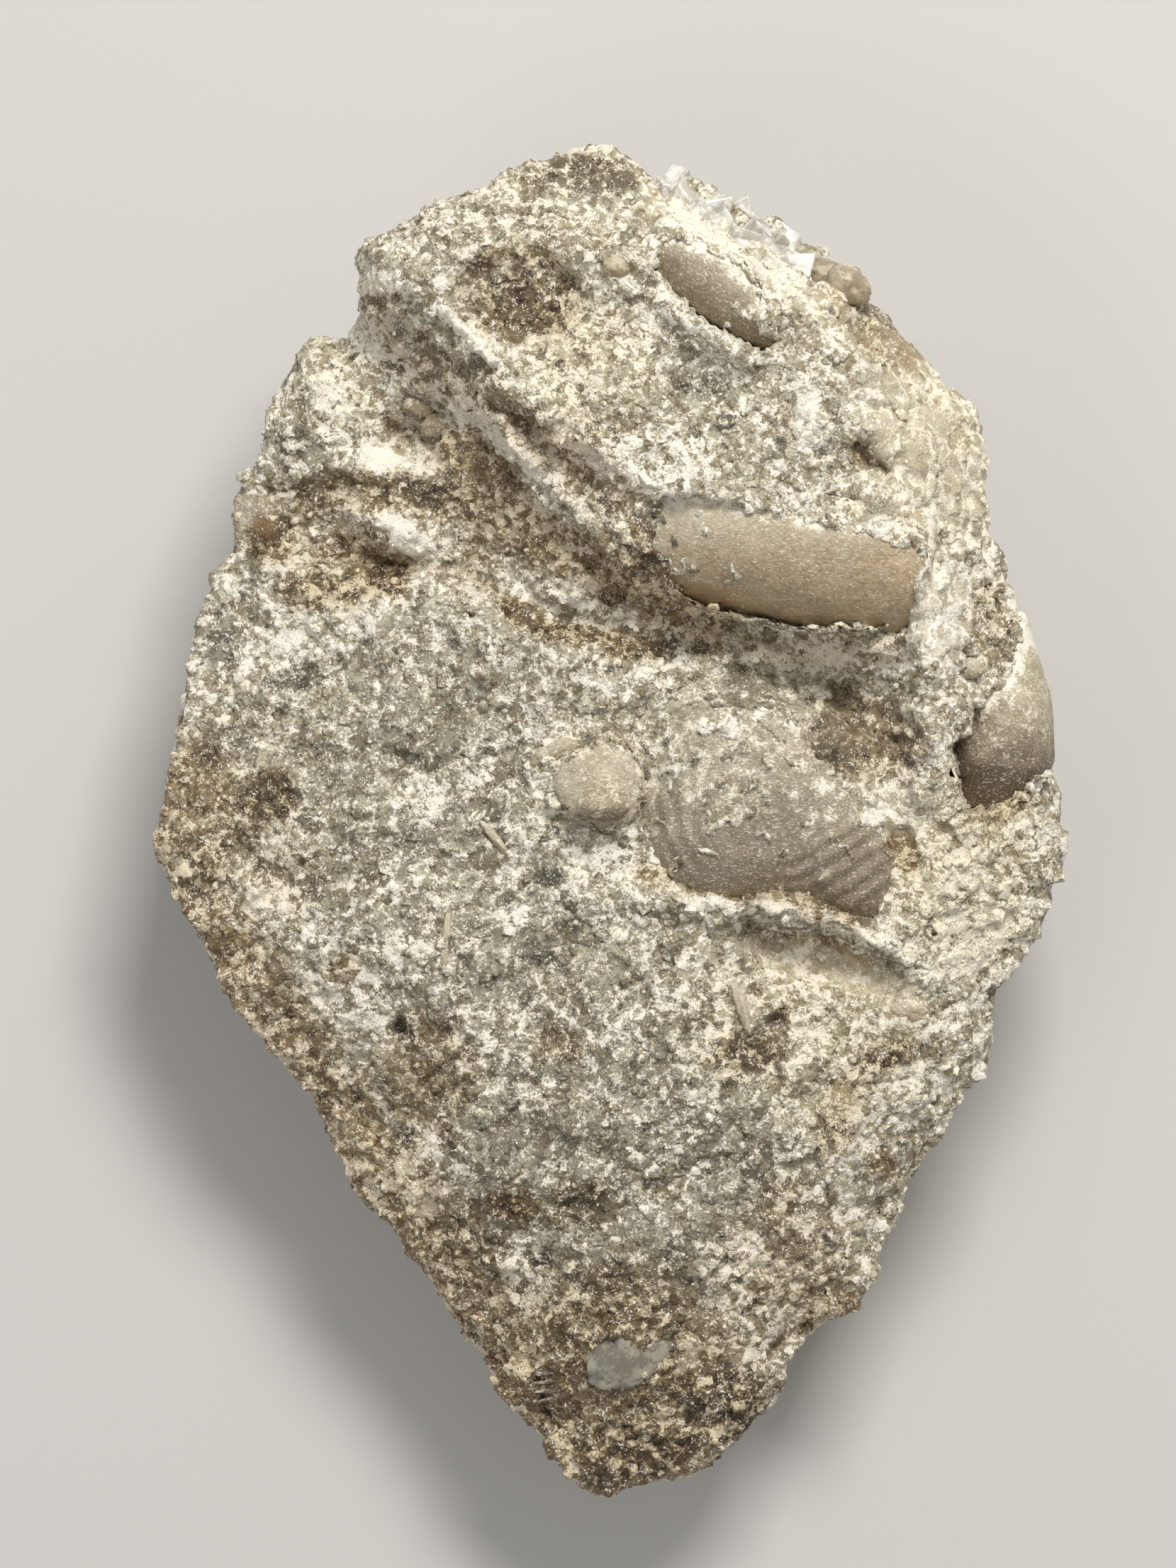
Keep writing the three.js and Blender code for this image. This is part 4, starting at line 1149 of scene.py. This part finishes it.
domeFinish = {
    "blur": (-0.12, 0, 0.12),  # bearings either side over which the outline is smoothed
    "ribBend": (0.25, 2.5, 3.3),  # how far the ribs wander, over what length, and the seed
    "ribEdge": (1.6, 1.15),  # how fast a set of ribs fades out, and from what share of its half sizes
    "broadWear": (0.03, 0.5, 6.6, 2),  # height and size here are shares of the dome's reach
    "fineWear": [(0.07, 0.8, 1.2, 3)],
    "lowPatches": [(0.3, 1.8, 2.8, 2)],
    "rim": (0.3, 0.1),  # how strong, and how wide a share of the dome's reach
    "frostPatches": [(1.4, 2.4, 9.3, 3)],
}


def ribsAt(places, ribs):  # height of sets of curved ribs
    slope, size = domeFinish["ribEdge"]
    lift = np.zeros(len(places))
    for rib in ribs:
        ring = np.hypot(*(places - rib["centre"]).T) - rib["radius"]
        offset = turned(places - rib["at"], rib["turn"]) / rib["half"]
        share = ease(slope * (size - np.hypot(*offset.T)))
        lift += rib["rise"] * share * np.cos(2 * np.pi * ring / rib["spacing"])
    return lift


def domeMesh(name, d):  # a dome over a closed outline, with ribs
    s = domeFinish
    mesh = ballMesh(name, d)
    ball = vectorsOf(mesh.vertices, "co")
    bearing = np.arctan2(ball[:, 1], ball[:, 0])
    reach = sum(reachOf(bearing + turn, d["middle"], d["outline"]) for turn in s["blur"]) / len(s["blur"])
    reach += d["grow"]
    level = np.sign(ball[:, 2]) * np.abs(ball[:, 2]) ** d["round"]
    points = np.empty_like(ball)
    crown = np.array(d["crown"]) * np.maximum(level, 0)[:, None] ** 2
    points[:, :2] = d["middle"] + ball[:, :2] * reach[:, None] + crown
    points[:, 2] = d["foot"] + d["rise"] * level

    wander, length, seed = s["ribBend"]
    places = points[:, :2] + wander * pushes(points, length, seed)[:, :2]
    size = np.max(reach)
    height, width, seed, octaves = s["broadWear"]
    lift = ribsAt(places, d["ribs"]) + wornBy(points, [(height * size, width * size, seed, octaves)])
    lift += wornBy(points, s["fineWear"])
    points[:, 2] += lift * (ball[:, 2] > 0)
    setCorners(mesh, points)

    # low colour: painted shade growing towards the side turned from the light, with real browner patches
    middle, speed, strength = d["low"]
    lowness = 0.5 - speed * (points[:, 1] - middle) + wornBy(points, s["lowPatches"])
    setShare(mesh, "low", strength * ease(lowness))
    share, width = s["rim"]
    rim = share * ease(1 - insideBy(places, d["outline"]) / (width * size))
    patches = 0.5 + 0.25 * (places[:, 1] - d["middle"][1]) + wornBy(points, s["frostPatches"])
    setShare(mesh, "rim", np.maximum(rim, d["patchy"] * ease(patches)))
    return mesh


# Small pieces that stand out of the stone: middle, half sizes along, across and up, turn, lift of the middle
lumps = {
    "brown_pieces": {
        "look": "brown",
        "pieces": [
            ((-0.15, 1.0), (1.55, 1.05, 1.0), 8, 0.85),
            ((-9.9, 23.1), (1.0, 0.85, 0.6), 10, -0.1),
            ((-11.0, 24.3), (0.9, 0.7, 0.5), -30, -0.15),
        ],
    },
    "pale_pieces": {
        "look": "pale",
        "pieces": [
            ((-3.0, 4.1), (1.5, 0.6, 0.35), 25, -0.1),
            ((10.0, -7.3), (0.5, 0.36, 0.4), 0, -0.1),
            ((21.4, 9.0), (0.8, 0.6, 0.5), 0, 0.0),
            ((2.6, -20.7), (1.7, 0.2, 0.3), 2, 0.0),
        ],
    },
    "amber_lens": {
        "look": "amber",
        "pieces": [
            ((0.6, 32.4), (0.8, 0.6, 0.5), -10, 0.05),
        ],
    },
    "grey_fragment": {
        "look": "grey",
        "pieces": [
            ((1.2, -31.2), (2.6, 2.0, 0.5), 30, -0.25),
        ],
    },
    "tan_end": {
        "look": "tan",
        "pieces": [
            ((14.1, 31.5), (1.5, 1.0, 1.3), -35, 0.3),
            ((13.0, 32.0), (1.5, 0.9, 1.0), -25, 0.2),
        ],
    },
    "dark_bars": {
        "look": "dark",
        "pieces": [
            ((-3.5, -32.5), (0.75, 0.15, 0.2), 4, 0.05),
            ((-3.4, -33.0), (0.95, 0.15, 0.2), 6, 0.05),
            ((-3.3, -33.5), (1.0, 0.15, 0.2), 8, 0.05),
            ((-3.2, -34.0), (0.8, 0.15, 0.2), 12, 0.05),
        ],
    },
    "tan_slivers": {
        "look": "cast",
        "pieces": [
            ((7.9, -10.6), (1.8, 0.36, 0.35), -72, 0.0),
            ((-9.4, -7.1), (1.7, 0.28, 0.3), 86, -0.05),
            ((-6.6, -0.8), (1.4, 0.26, 0.3), -50, 0.0),
            ((17.2, -10.8), (1.7, 0.7, 0.4), -15, -0.2),
        ],
    },
}

lumpFinish = {
    "wear": (0.2, 1.3, 4),  # height, how fine, octaves
    "low": (0.35, -0.9),  # the low colour, and how much less of it on the side that faces the stone's top and the light: painted shade in part
    "rim": (0.9, -1.4),  # the frosting, and how much less of it on what looks up
}


def lumpsMesh(name, group):
    s = lumpFinish
    height, fineness, octaves = s["wear"]
    bm = bmesh.new()
    for place, half, turn, lift in group["pieces"]:
        made = bmesh.ops.create_icosphere(bm, subdivisions=4, radius=1)["verts"]
        middle = Vector((*place, groundAt(*place) + lift))
        turning = Matrix.Rotation(np.radians(turn), 3, "Z")
        for vertex in made:
            wear = 1 + height * cloudAt(vertex.co * fineness + middle, octaves)
            shaped = Vector(np.multiply(vertex.co * wear, half))
            vertex.co = (turning @ shaped + middle) * mm
    mesh = meshFrom(bm, name)
    normals = vectorsOf(mesh.vertices, "normal")
    # low: painted shade in part, on the side turned from the light
    for tint, axis in (("low", 1), ("rim", 2)):
        base, gain = s[tint]
        setShare(mesh, tint, ease(base + gain * normals[:, axis]))
    return mesh


seatSetup = {
    "reach": 3.0,  # how far outside a fossil's outline the stone is looked at
    "wander": (0.4, 0.8),  # how far the stone's edge over it wanders, over what length
    "sink": 0.45,  # how far under a fossil the stone lies
    "sinkWidth": 0.25,  # how far in from the edge it lies that deep
    "blend": 0.2,
    "cling": 0.65,  # height of the stone that clings to a fossil, over the sunk stone
    "clingSize": 1.3,
    "clingSlope": 5,
    "rim": 0.2,  # how far the stone stands over a fossil's edge
    "rimReach": 0.9,  # how far out the stone is raised, and how fast less so
    "rimSlope": 0.5,
    "overSlope": (0.1, 0.5),  # how fast that edge thins outwards, and how much of the roughness it keeps
}


def clingingAt(points, fossil, seed):  # 0 on a clean fossil, 1 where the stone still covers it
    s = seatSetup
    rare, way = fossil["cling"]
    share = rough(points, s["clingSize"], seed + 4.2) + (points[:, :2] - np.mean(fossil["outline"], 0)) @ way
    return ease(s["clingSlope"] * (share - rare))


def seatInStone(points, lift, upward, fossil, seed):  # sinks the stone under a fossil, and lifts its rim
    s = seatSetup
    near = nearbyOnly(points, fossil["outline"], s["reach"]) & upward
    index = np.nonzero(near)[0]
    wander, length = s["wander"]
    places = points[index, :2] + wander * pushes(points[index], length, seed)[:, :2]
    inside = insideBy(places, fossil["outline"])
    clinging = clingingAt(points[index], fossil, seed)
    tree = treeOf(fossil["piece"].data)
    thinning, keeping = s["overSlope"]
    for i, depth, clings in zip(index, inside, clinging):
        hit = topOf(tree, *points[i, :2])
        if hit and depth > 0:
            below = hit.z - s["sink"] * min(depth / s["sinkWidth"], 1)
            below = max(min(points[i, 2], below), hit.z - s["sink"] + s["cling"] * clings)
            points[i, 2] += (below - points[i, 2]) * min(depth / s["blend"], 1)
        elif hit:
            points[i, 2] = max(points[i, 2], hit.z + s["rim"] + thinning * depth + keeping * lift[i])
        else:
            touch, _, _, gap = tree.find_nearest(Vector(points[i]))
            if gap < s["rimReach"]:
                points[i, 2] = max(points[i, 2], touch.z + s["rim"] - s["rimSlope"] * gap + lift[i])


stoneSetup = {
    "merge": 0.001,
    "voxel": 0.25,
    "smoothing": 8,
    "seat": 0.9,  # height over which the roughness fades to the flat underside
    "upward": 0.15,  # what faces up more than this is the fossil face
    "bend": (0.35, 1.3, 9.1),  # how far the tints and the relief wander, over what length, and the seed
    "ossicleBend": (0.25, 0.8, 2.2),
    "rough": [(0.08, 1.0, 5.5, 4)],  # height, size, seed, octaves
    "facets": [(0.3, 3.2, 0.0), (0.2, 1.2, 3.1)],  # height, size, seed
    "ribs": {"long": 7.0, "wide": 0.9, "turn": -44, "height": 0.55, "seed": 7.7},
    "steep": (0.9, 0.4),  # ribs start on what looks up less than this, and are full this much further
    "under": (0.2, 0.3),  # they end on what looks down more than this, and are full this much before
    "creamRibs": 0.4,
    "smooth": 0.85,  # how much of the roughness the smooth tint takes away
    "upright": (0.55, 0.5),  # how much of it upright faces keep, and which faces are that upright
    "over": 0.3,  # how far the relief may pass the CAD stone's top
    "faceEdge": (0.3, 0.5),  # the tints end on what looks down more than this, and are full this much before
    "pitDepth": 1.4,  # of the darkest hollows, where the pit tint paints the deepest shade
    "cut": [(-30, 21), (30, -5)],  # the stone is two meshes, parted where this line crosses it
}


def evenStone(s, material):  # the CAD stone with an even, fine mesh and softened edges
    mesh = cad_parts[stoneNode].data.copy()
    bm = bmesh.new()
    bm.from_mesh(mesh)
    bmesh.ops.remove_doubles(bm, verts=bm.verts, dist=s["merge"] * mm)
    bm.to_mesh(mesh)
    bm.free()
    stone = pieceFrom("stone", mesh, material)
    remesh = stone.modifiers.new("even", "REMESH")
    remesh.mode = "VOXEL"
    remesh.voxel_size = s["voxel"] * mm
    soften = stone.modifiers.new("soften", "SMOOTH")
    soften.iterations = s["smoothing"]
    finishModifiers(stone)
    return stone


def ribbedSides(s, points, outward, cream):  # height of the splintered ribs on the steep sides
    ribs = s["ribs"]
    drawn = np.column_stack((turned(points[:, :2], ribs["turn"]), points[:, 2]))
    drawn /= (ribs["long"], ribs["wide"], ribs["wide"])
    start, width = s["steep"]
    low, fade = s["under"]
    steep = ease((start - outward[:, 2]) / width) * ease((outward[:, 2] + low) / fade)
    steep = np.maximum(steep, s["creamRibs"] * cream)
    return ribs["height"] * steep * rough(drawn, 1.0, ribs["seed"], 2)


def stoneLift(s, points, outward, upward, bent):  # how far each place is pushed out, and the sea lilies
    lift = wornBy(points, s["rough"])
    for height, size, seed in s["facets"]:
        lift += height * facets(points, size, seed)
    wander, length, seed = s["ossicleBend"]
    inside, rise, tone = ossiclesAt(points + wander * pushes(points, length, seed), ossicleSetup)
    lift += rise
    lift += ribbedSides(s, points, outward, tintAt("cream", bent) * upward)
    lift *= 1 - s["smooth"] * tintAt("smooth", bent) * upward
    kept, lean = s["upright"]
    lift *= kept + (1 - kept) * ease(np.abs(outward[:, 2]) / lean)
    return lift, inside, tone


def buildStone(fossils, material):
    s = stoneSetup
    stone = evenStone(s, material)
    mesh = stone.data
    points = cornersOf(mesh)
    outward = vectorsOf(mesh.vertices, "normal")
    upward = (outward[:, 2] > s["upward"]) & (points[:, 2] > faceHeight)
    wander, length, seed = s["bend"]
    bent = points[:, :2] + wander * pushes(points, length, seed)[:, :2]
    lift, inside, tone = stoneLift(s, points, outward, upward, bent)
    points += outward * (lift * ease(points[:, 2] / s["seat"]))[:, None]
    height = reliefAt(bent)
    height[~upward] = 0
    points[:, 2] += height
    for k, fossil in enumerate(fossils):
        seatInStone(points, lift, upward, fossil, k + 0.5)
    points[:, 2] = np.clip(points[:, 2], 0, stoneHigh[2] + s["over"])
    setCorners(mesh, points)

    edge, fade = s["faceEdge"]
    face = ease((outward[:, 2] + edge) / fade)
    for name in tints:
        setShare(mesh, name, tintAt(name, bent) * face)
    # pit: painted shade, darker the deeper the relief sinks a place, and none where frosted
    setShare(mesh, "pit", ease(-(lift + height) / s["pitDepth"] - tintAt("frost", bent)))
    setShare(mesh, "ossicle", inside)
    setShare(mesh, "tone", tone)
    print("stone:", len(mesh.polygons), "faces")
    return stone


def halves(piece, names, line):  # parts a closed mesh along an upright plane, into two closed meshes
    (x1, y1), (x2, y2) = line
    across = Vector((y1 - y2, x2 - x1, 0)).normalized()
    onPlane = 1e-7  # metres, within which a corner lies on the plane
    pieces = []
    for name, way in zip(names, (1, -1)):
        bm = bmesh.new()
        bm.from_mesh(piece.data)
        cut = bmesh.ops.bisect_plane(
            bm,
            geom=[*bm.verts, *bm.edges, *bm.faces],
            dist=onPlane,
            plane_co=Vector((x1, y1, 0)) * mm,
            plane_no=across * way,
            clear_inner=True,
        )
        edges = [item for item in cut["geom_cut"] if isinstance(item, bmesh.types.BMEdge)]
        bmesh.ops.triangle_fill(bm, edges=edges, use_beauty=False, use_dissolve=False)
        bmesh.ops.recalc_face_normals(bm, faces=bm.faces)
        pieces.append(pieceFrom(name, meshFrom(bm, name), piece.data.materials[0]))
        print(name + ":", len(pieces[-1].data.polygons), "faces")
    bpy.data.objects.remove(piece)
    return pieces


grainSetup = {
    "fine_grains": {"count": 9500, "size": (0.3, 0.55), "proud": (0.02, 0.1), "seed": 11},
    "middle_grains": {"count": 8000, "size": (0.5, 0.9), "proud": (0.01, 0.1), "seed": 12},
    "coarse_grains": {"count": 3000, "size": (0.8, 1.4), "proud": (0.0, 0.1), "seed": 13},
}

grainLook = {  # the same for every size
    "kinds": 8,  # of shape
    "radius": 0.56,  # of a grain of size 1
    "skew": 0.3,
    "broken": 0.22,  # how far each corner may be moved
    "spares": 2,  # times as many places are drawn, since some turn out bare
    "wander": 0.05,
    "rimWidth": 0.1,  # how far over a fossil's outline grains may lie
    "belowFace": 9,  # below this the outlines don't count
    "sparBare": 0.8,  # how bare the spar is beside the smooth moulds
    "bare": (0.2, 0.9),  # each place has its limit between these, above which it stays bare
    "lean": 0.17,
    "flat": (0.6, 1.0),  # each side, beside the size
    "thickness": 0.6,  # and the one that points out of the stone
    "margin": (0.6, 0.5),  # the middles stay this far inside the stone's box, at its low and high ends
}

surfaceSetup = {
    "foot": 1.2,  # no grains below this
    "sides": 0.08,  # how thickly they lie on the sides, beside the face
    "slope": (1.8, -0.3),
}


def surfaceOf(piece, s):  # the middles, normals, areas and tints of a mesh's faces
    mesh = piece.data
    middles = vectorsOf(mesh.polygons, "center") / mm
    normals = vectorsOf(mesh.polygons, "normal")
    gain, start = s["slope"]
    areas = numbersOf(mesh.polygons, "area")
    areas[middles[:, 2] < s["foot"]] = 0
    areas *= s["sides"] + (1 - s["sides"]) * ease(normals[:, 2] * gain + start)
    corner = numbersOf(mesh.loops, "vertex_index", int)[numbersOf(mesh.polygons, "loop_start", int)]
    shares = {}
    for tint in (*tints, "pit"):
        shares[tint] = numbersOf(mesh.attributes[tint].data, "value", np.float32)[corner]
    return {"middles": middles, "normals": normals, "areas": areas / areas.sum(), "shares": shares}


def grainShapes(maker, look):  # a few broken crystals, each about 1 across
    shapes = []
    for k in range(look["kinds"]):
        bm = bmesh.new()
        bmesh.ops.create_icosphere(bm, subdivisions=1, radius=look["radius"])
        mesh = meshFrom(bm, "grain")
        corners = vectorsOf(mesh.vertices, "co")
        corners[:, 0] += look["skew"] * maker.uniform(-1, 1) * corners[:, 1]
        corners[:, 1] += look["skew"] * maker.uniform(-1, 1) * corners[:, 2]
        corners *= 1 + maker.uniform(-look["broken"], look["broken"], corners.shape)
        shapes.append((corners, np.array([tuple(face.vertices) for face in mesh.polygons])))
        bpy.data.meshes.remove(mesh)
    return shapes


def grainPlaces(maker, count, surface, outlines, look):  # which faces have a grain, and where it is
    spots = maker.choice(len(surface["middles"]), count * look["spares"], p=surface["areas"])
    middles = surface["middles"][spots] + maker.normal(0, look["wander"], (len(spots), 3))
    clear = np.ones(len(spots), bool)
    for outline in outlines:
        outside = insideBy(middles[:, :2], outline) < look["rimWidth"]
        clear &= outside | (middles[:, 2] < look["belowFace"])
    bare = np.maximum(surface["shares"]["smooth"][spots], look["sparBare"] * surface["shares"]["spar"][spots])
    clear &= bare < maker.uniform(*look["bare"], len(spots))
    chosen = np.nonzero(clear)[0][:count]
    return spots[chosen], middles[chosen]


def unit(vectors):
    return vectors / np.linalg.norm(vectors, axis=1)[:, None]


def joinedGrains(name, shapes, kinds, sizes, axes, middles):  # one mesh of them all, and whose each corner is
    corners, faces, owner = [], [], []
    first = 0
    for kind, (shape, sides) in enumerate(shapes):
        chosen = np.nonzero(kinds == kind)[0]
        local = shape[None] * sizes[chosen][:, None, :]
        placed = middles[chosen, None]
        for k, axis in enumerate(axes):
            placed = placed + local[..., k : k + 1] * axis[chosen, None]
        corners.append(placed.reshape(-1, 3))
        starts = first + len(shape) * np.arange(len(chosen))
        faces.append((sides[None] + starts[:, None, None]).reshape(-1, 3))
        owner.append(np.repeat(chosen, len(shape)))
        first += len(shape) * len(chosen)
    corners, faces, owner = (np.concatenate(items) for items in (corners, faces, owner))
    mesh = bpy.data.meshes.new(name)
    mesh.vertices.add(len(corners))
    mesh.vertices.foreach_set("co", (corners * mm).ravel())
    mesh.loops.add(faces.size)
    mesh.loops.foreach_set("vertex_index", faces.ravel())
    mesh.polygons.add(len(faces))
    mesh.polygons.foreach_set("loop_start", np.arange(0, faces.size, 3))
    mesh.update(calc_edges=True)
    return mesh, owner


def scatter(name, s, surface, outlines, material):
    look = grainLook
    maker = np.random.default_rng(s["seed"])
    spots, middles = grainPlaces(maker, s["count"], surface, outlines, look)
    count = len(spots)
    outward = surface["normals"][spots]
    normals = unit(outward + look["lean"] * maker.normal(0, 1, (count, 3)))
    sideways = unit(np.cross(normals, maker.normal(0, 1, (count, 3))))
    sizes = maker.uniform(*s["size"], count)
    sizes = sizes[:, None] * (maker.uniform(*look["flat"], (count, 3)) * (1, 1, look["thickness"]))
    shapes = grainShapes(maker, look)
    kinds = maker.integers(0, len(shapes), count)
    middles = middles - outward * (0.5 * sizes[:, 2] - maker.uniform(*s["proud"], count))[:, None]
    low, high = look["margin"]
    middles = np.clip(middles, stoneLow + low, stoneHigh - high)
    axes = (sideways, np.cross(normals, sideways), normals)
    mesh, owner = joinedGrains(name, shapes, kinds, sizes, axes, middles)
    setShare(mesh, "tone", maker.uniform(0.2, 1, count)[owner])
    setShare(mesh, "ossicle", np.full(len(owner), -1.0))
    for tint, values in surface["shares"].items():
        setShare(mesh, tint, values[spots][owner])
    print(name + ":", len(mesh.polygons), "faces")
    return pieceFrom(name, mesh, material, smooth=False)


crystalSets = {  # count crystals along a line, from which they spread; size is the length of an edge
    "edge_crystals": {
        "look": "white", "count": 30, "size": (1.1, 1.9), "proud": 0.2, "lean": 0.4, "seed": 21,
        "line": [(3.6, 36.6), (5.4, 35.7), (7.4, 34.7), (9.4, 33.7), (11.2, 32.7), (12.6, 31.9)],
        "spread": 0.5,
    },
    "edge_tooth": {
        "look": "white", "count": 2, "size": (1.3, 1.6), "proud": 0.6, "lean": 0.7, "seed": 25,
        "line": [(9.9, 34.1), (10.6, 34.0)], "spread": 0.1,
    },
    "tan_crystals": {
        "look": "tan", "count": 4, "size": (1.2, 1.7), "proud": 0.4, "lean": 0.3, "seed": 22,
        "line": [(11.6, 32.6), (13.0, 31.9)], "spread": 0.2,
    },
}

crystalCut = {
    "slant": Matrix(((1, 0.35, 0.2), (0, 1, 0.25), (0, 0, 1))),  # calcite splits into slanted blocks
    "stretch": (0.7, 1.15),
    "bevel": 0.06,  # of an edge
    "sunk": 0.45,  # of the size, under the ground
    "belowTop": 0.6,  # of the size, how far the middle stays under the stone's top
    "inner": 0.96,  # of the way out from the origin, where the ground is read for one over the edge
}


def crystalMesh(name, c, cut):  # slanted blocks with cleaved corners, set into the stone along a line
    maker = np.random.default_rng(c["seed"])
    bm = bmesh.new()
    for k in range(c["count"]):
        share = (k + 0.5) / c["count"] * (len(c["line"]) - 1)
        whole = int(share)
        start, end = (np.array(corner) for corner in c["line"][whole : whole + 2])
        x, y = start + (share - whole) * (end - start) + maker.normal(0, c["spread"], 2)
        size = maker.uniform(*c["size"])
        stretch = Matrix.Diagonal(maker.uniform(*cut["stretch"], 3))
        lean = maker.normal(0, c["lean"], 2)
        turn = Euler((*lean, maker.uniform(0, 6.3))).to_matrix()
        inland = groundAt(cut["inner"] * x, cut["inner"] * y)
        if inland is None:
            continue
        made = bmesh.ops.create_cube(bm, size=1)["verts"]
        edges = list({edge for vertex in made for edge in vertex.link_edges})
        bevelled = bmesh.ops.bevel(
            bm,
            geom=edges,
            offset=cut["bevel"],
            offset_type="OFFSET",
            segments=1,
            profile=0.5,
            affect="EDGES",
            material=-1,
        )["verts"]
        middle = Vector((x, y, groundAt(x, y, inland) + c["proud"] - cut["sunk"] * size))
        middle.z = min(middle.z, stoneHigh[2] - cut["belowTop"] * size)
        for vertex in bevelled:
            vertex.co = (turn @ cut["slant"] @ stretch @ vertex.co * size + middle) * mm
    return meshFrom(bm, name)


floorSetup = {
    "half": 1200,  # of its width
    "drop": 0.05,  # below the stone's flat underside
    "colour": (0.62, 0.61, 0.59, 1),
    "roughness": 0.9,
}


def layFloor(s):
    bm = bmesh.new()
    bmesh.ops.create_grid(bm, x_segments=1, y_segments=1, size=s["half"] * mm)
    paper = Graph("floorPaper").finish({"Base Color": s["colour"], "Roughness": s["roughness"]})
    floor = pieceFrom("floor", meshFrom(bm, "floor"), paper)
    floor.location.z = -s["drop"] * mm
    return floor


addCamera(viewSetup)
addLights(lightSetup, Vector((stoneLow + stoneHigh) / 2) * mm)
print("camera and lights")

fossils = []
for name, rod in casts.items():
    piece = pieceFrom(name, rodMesh(name, rod), castMaterial(name, rod["look"], rod["turn"]))
    fossils.append({"piece": piece, "outline": rod["outline"], "cling": rod["cling"]})
for name, dome in domes.items():
    piece = pieceFrom(name, domeMesh(name, dome), castMaterial(name, dome["look"], 0.0))
    fossils.append({"piece": piece, "outline": dome["outline"], "cling": dome["cling"]})
print("fossils:", len(fossils))
small = []
for name, group in lumps.items():
    look = group["look"]
    material = castMaterial(name, look, 0.3) if look in castLooks else sparMaterial(name, look)
    small.append(pieceFrom(name, lumpsMesh(name, group), material))
print("small pieces:", len(small), "groups")
crystals = []
for name, c in crystalSets.items():
    mesh = crystalMesh(name, c, crystalCut)
    crystals.append(pieceFrom(name, mesh, sparMaterial(name, c["look"]), smooth=False))
print("crystals:", len(crystals), "groups")

limestone = calciteMaterial("limestone")
stone = buildStone(fossils, limestone)
surface = surfaceOf(stone, surfaceSetup)
outlines = [fossil["outline"] for fossil in fossils]
grains = [scatter(name, s, surface, outlines, limestone) for name, s in grainSetup.items()]
stones = halves(stone, ("stone_upper", "stone_lower"), stoneSetup["cut"])

for piece in (*stones, *grains, *small, *crystals, *(fossil["piece"] for fossil in fossils)):
    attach(piece, "root")
for piece in stones:
    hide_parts(stoneNode)
floor = layFloor(floorSetup)

bpy.context.scene.view_settings.view_transform = "Standard"
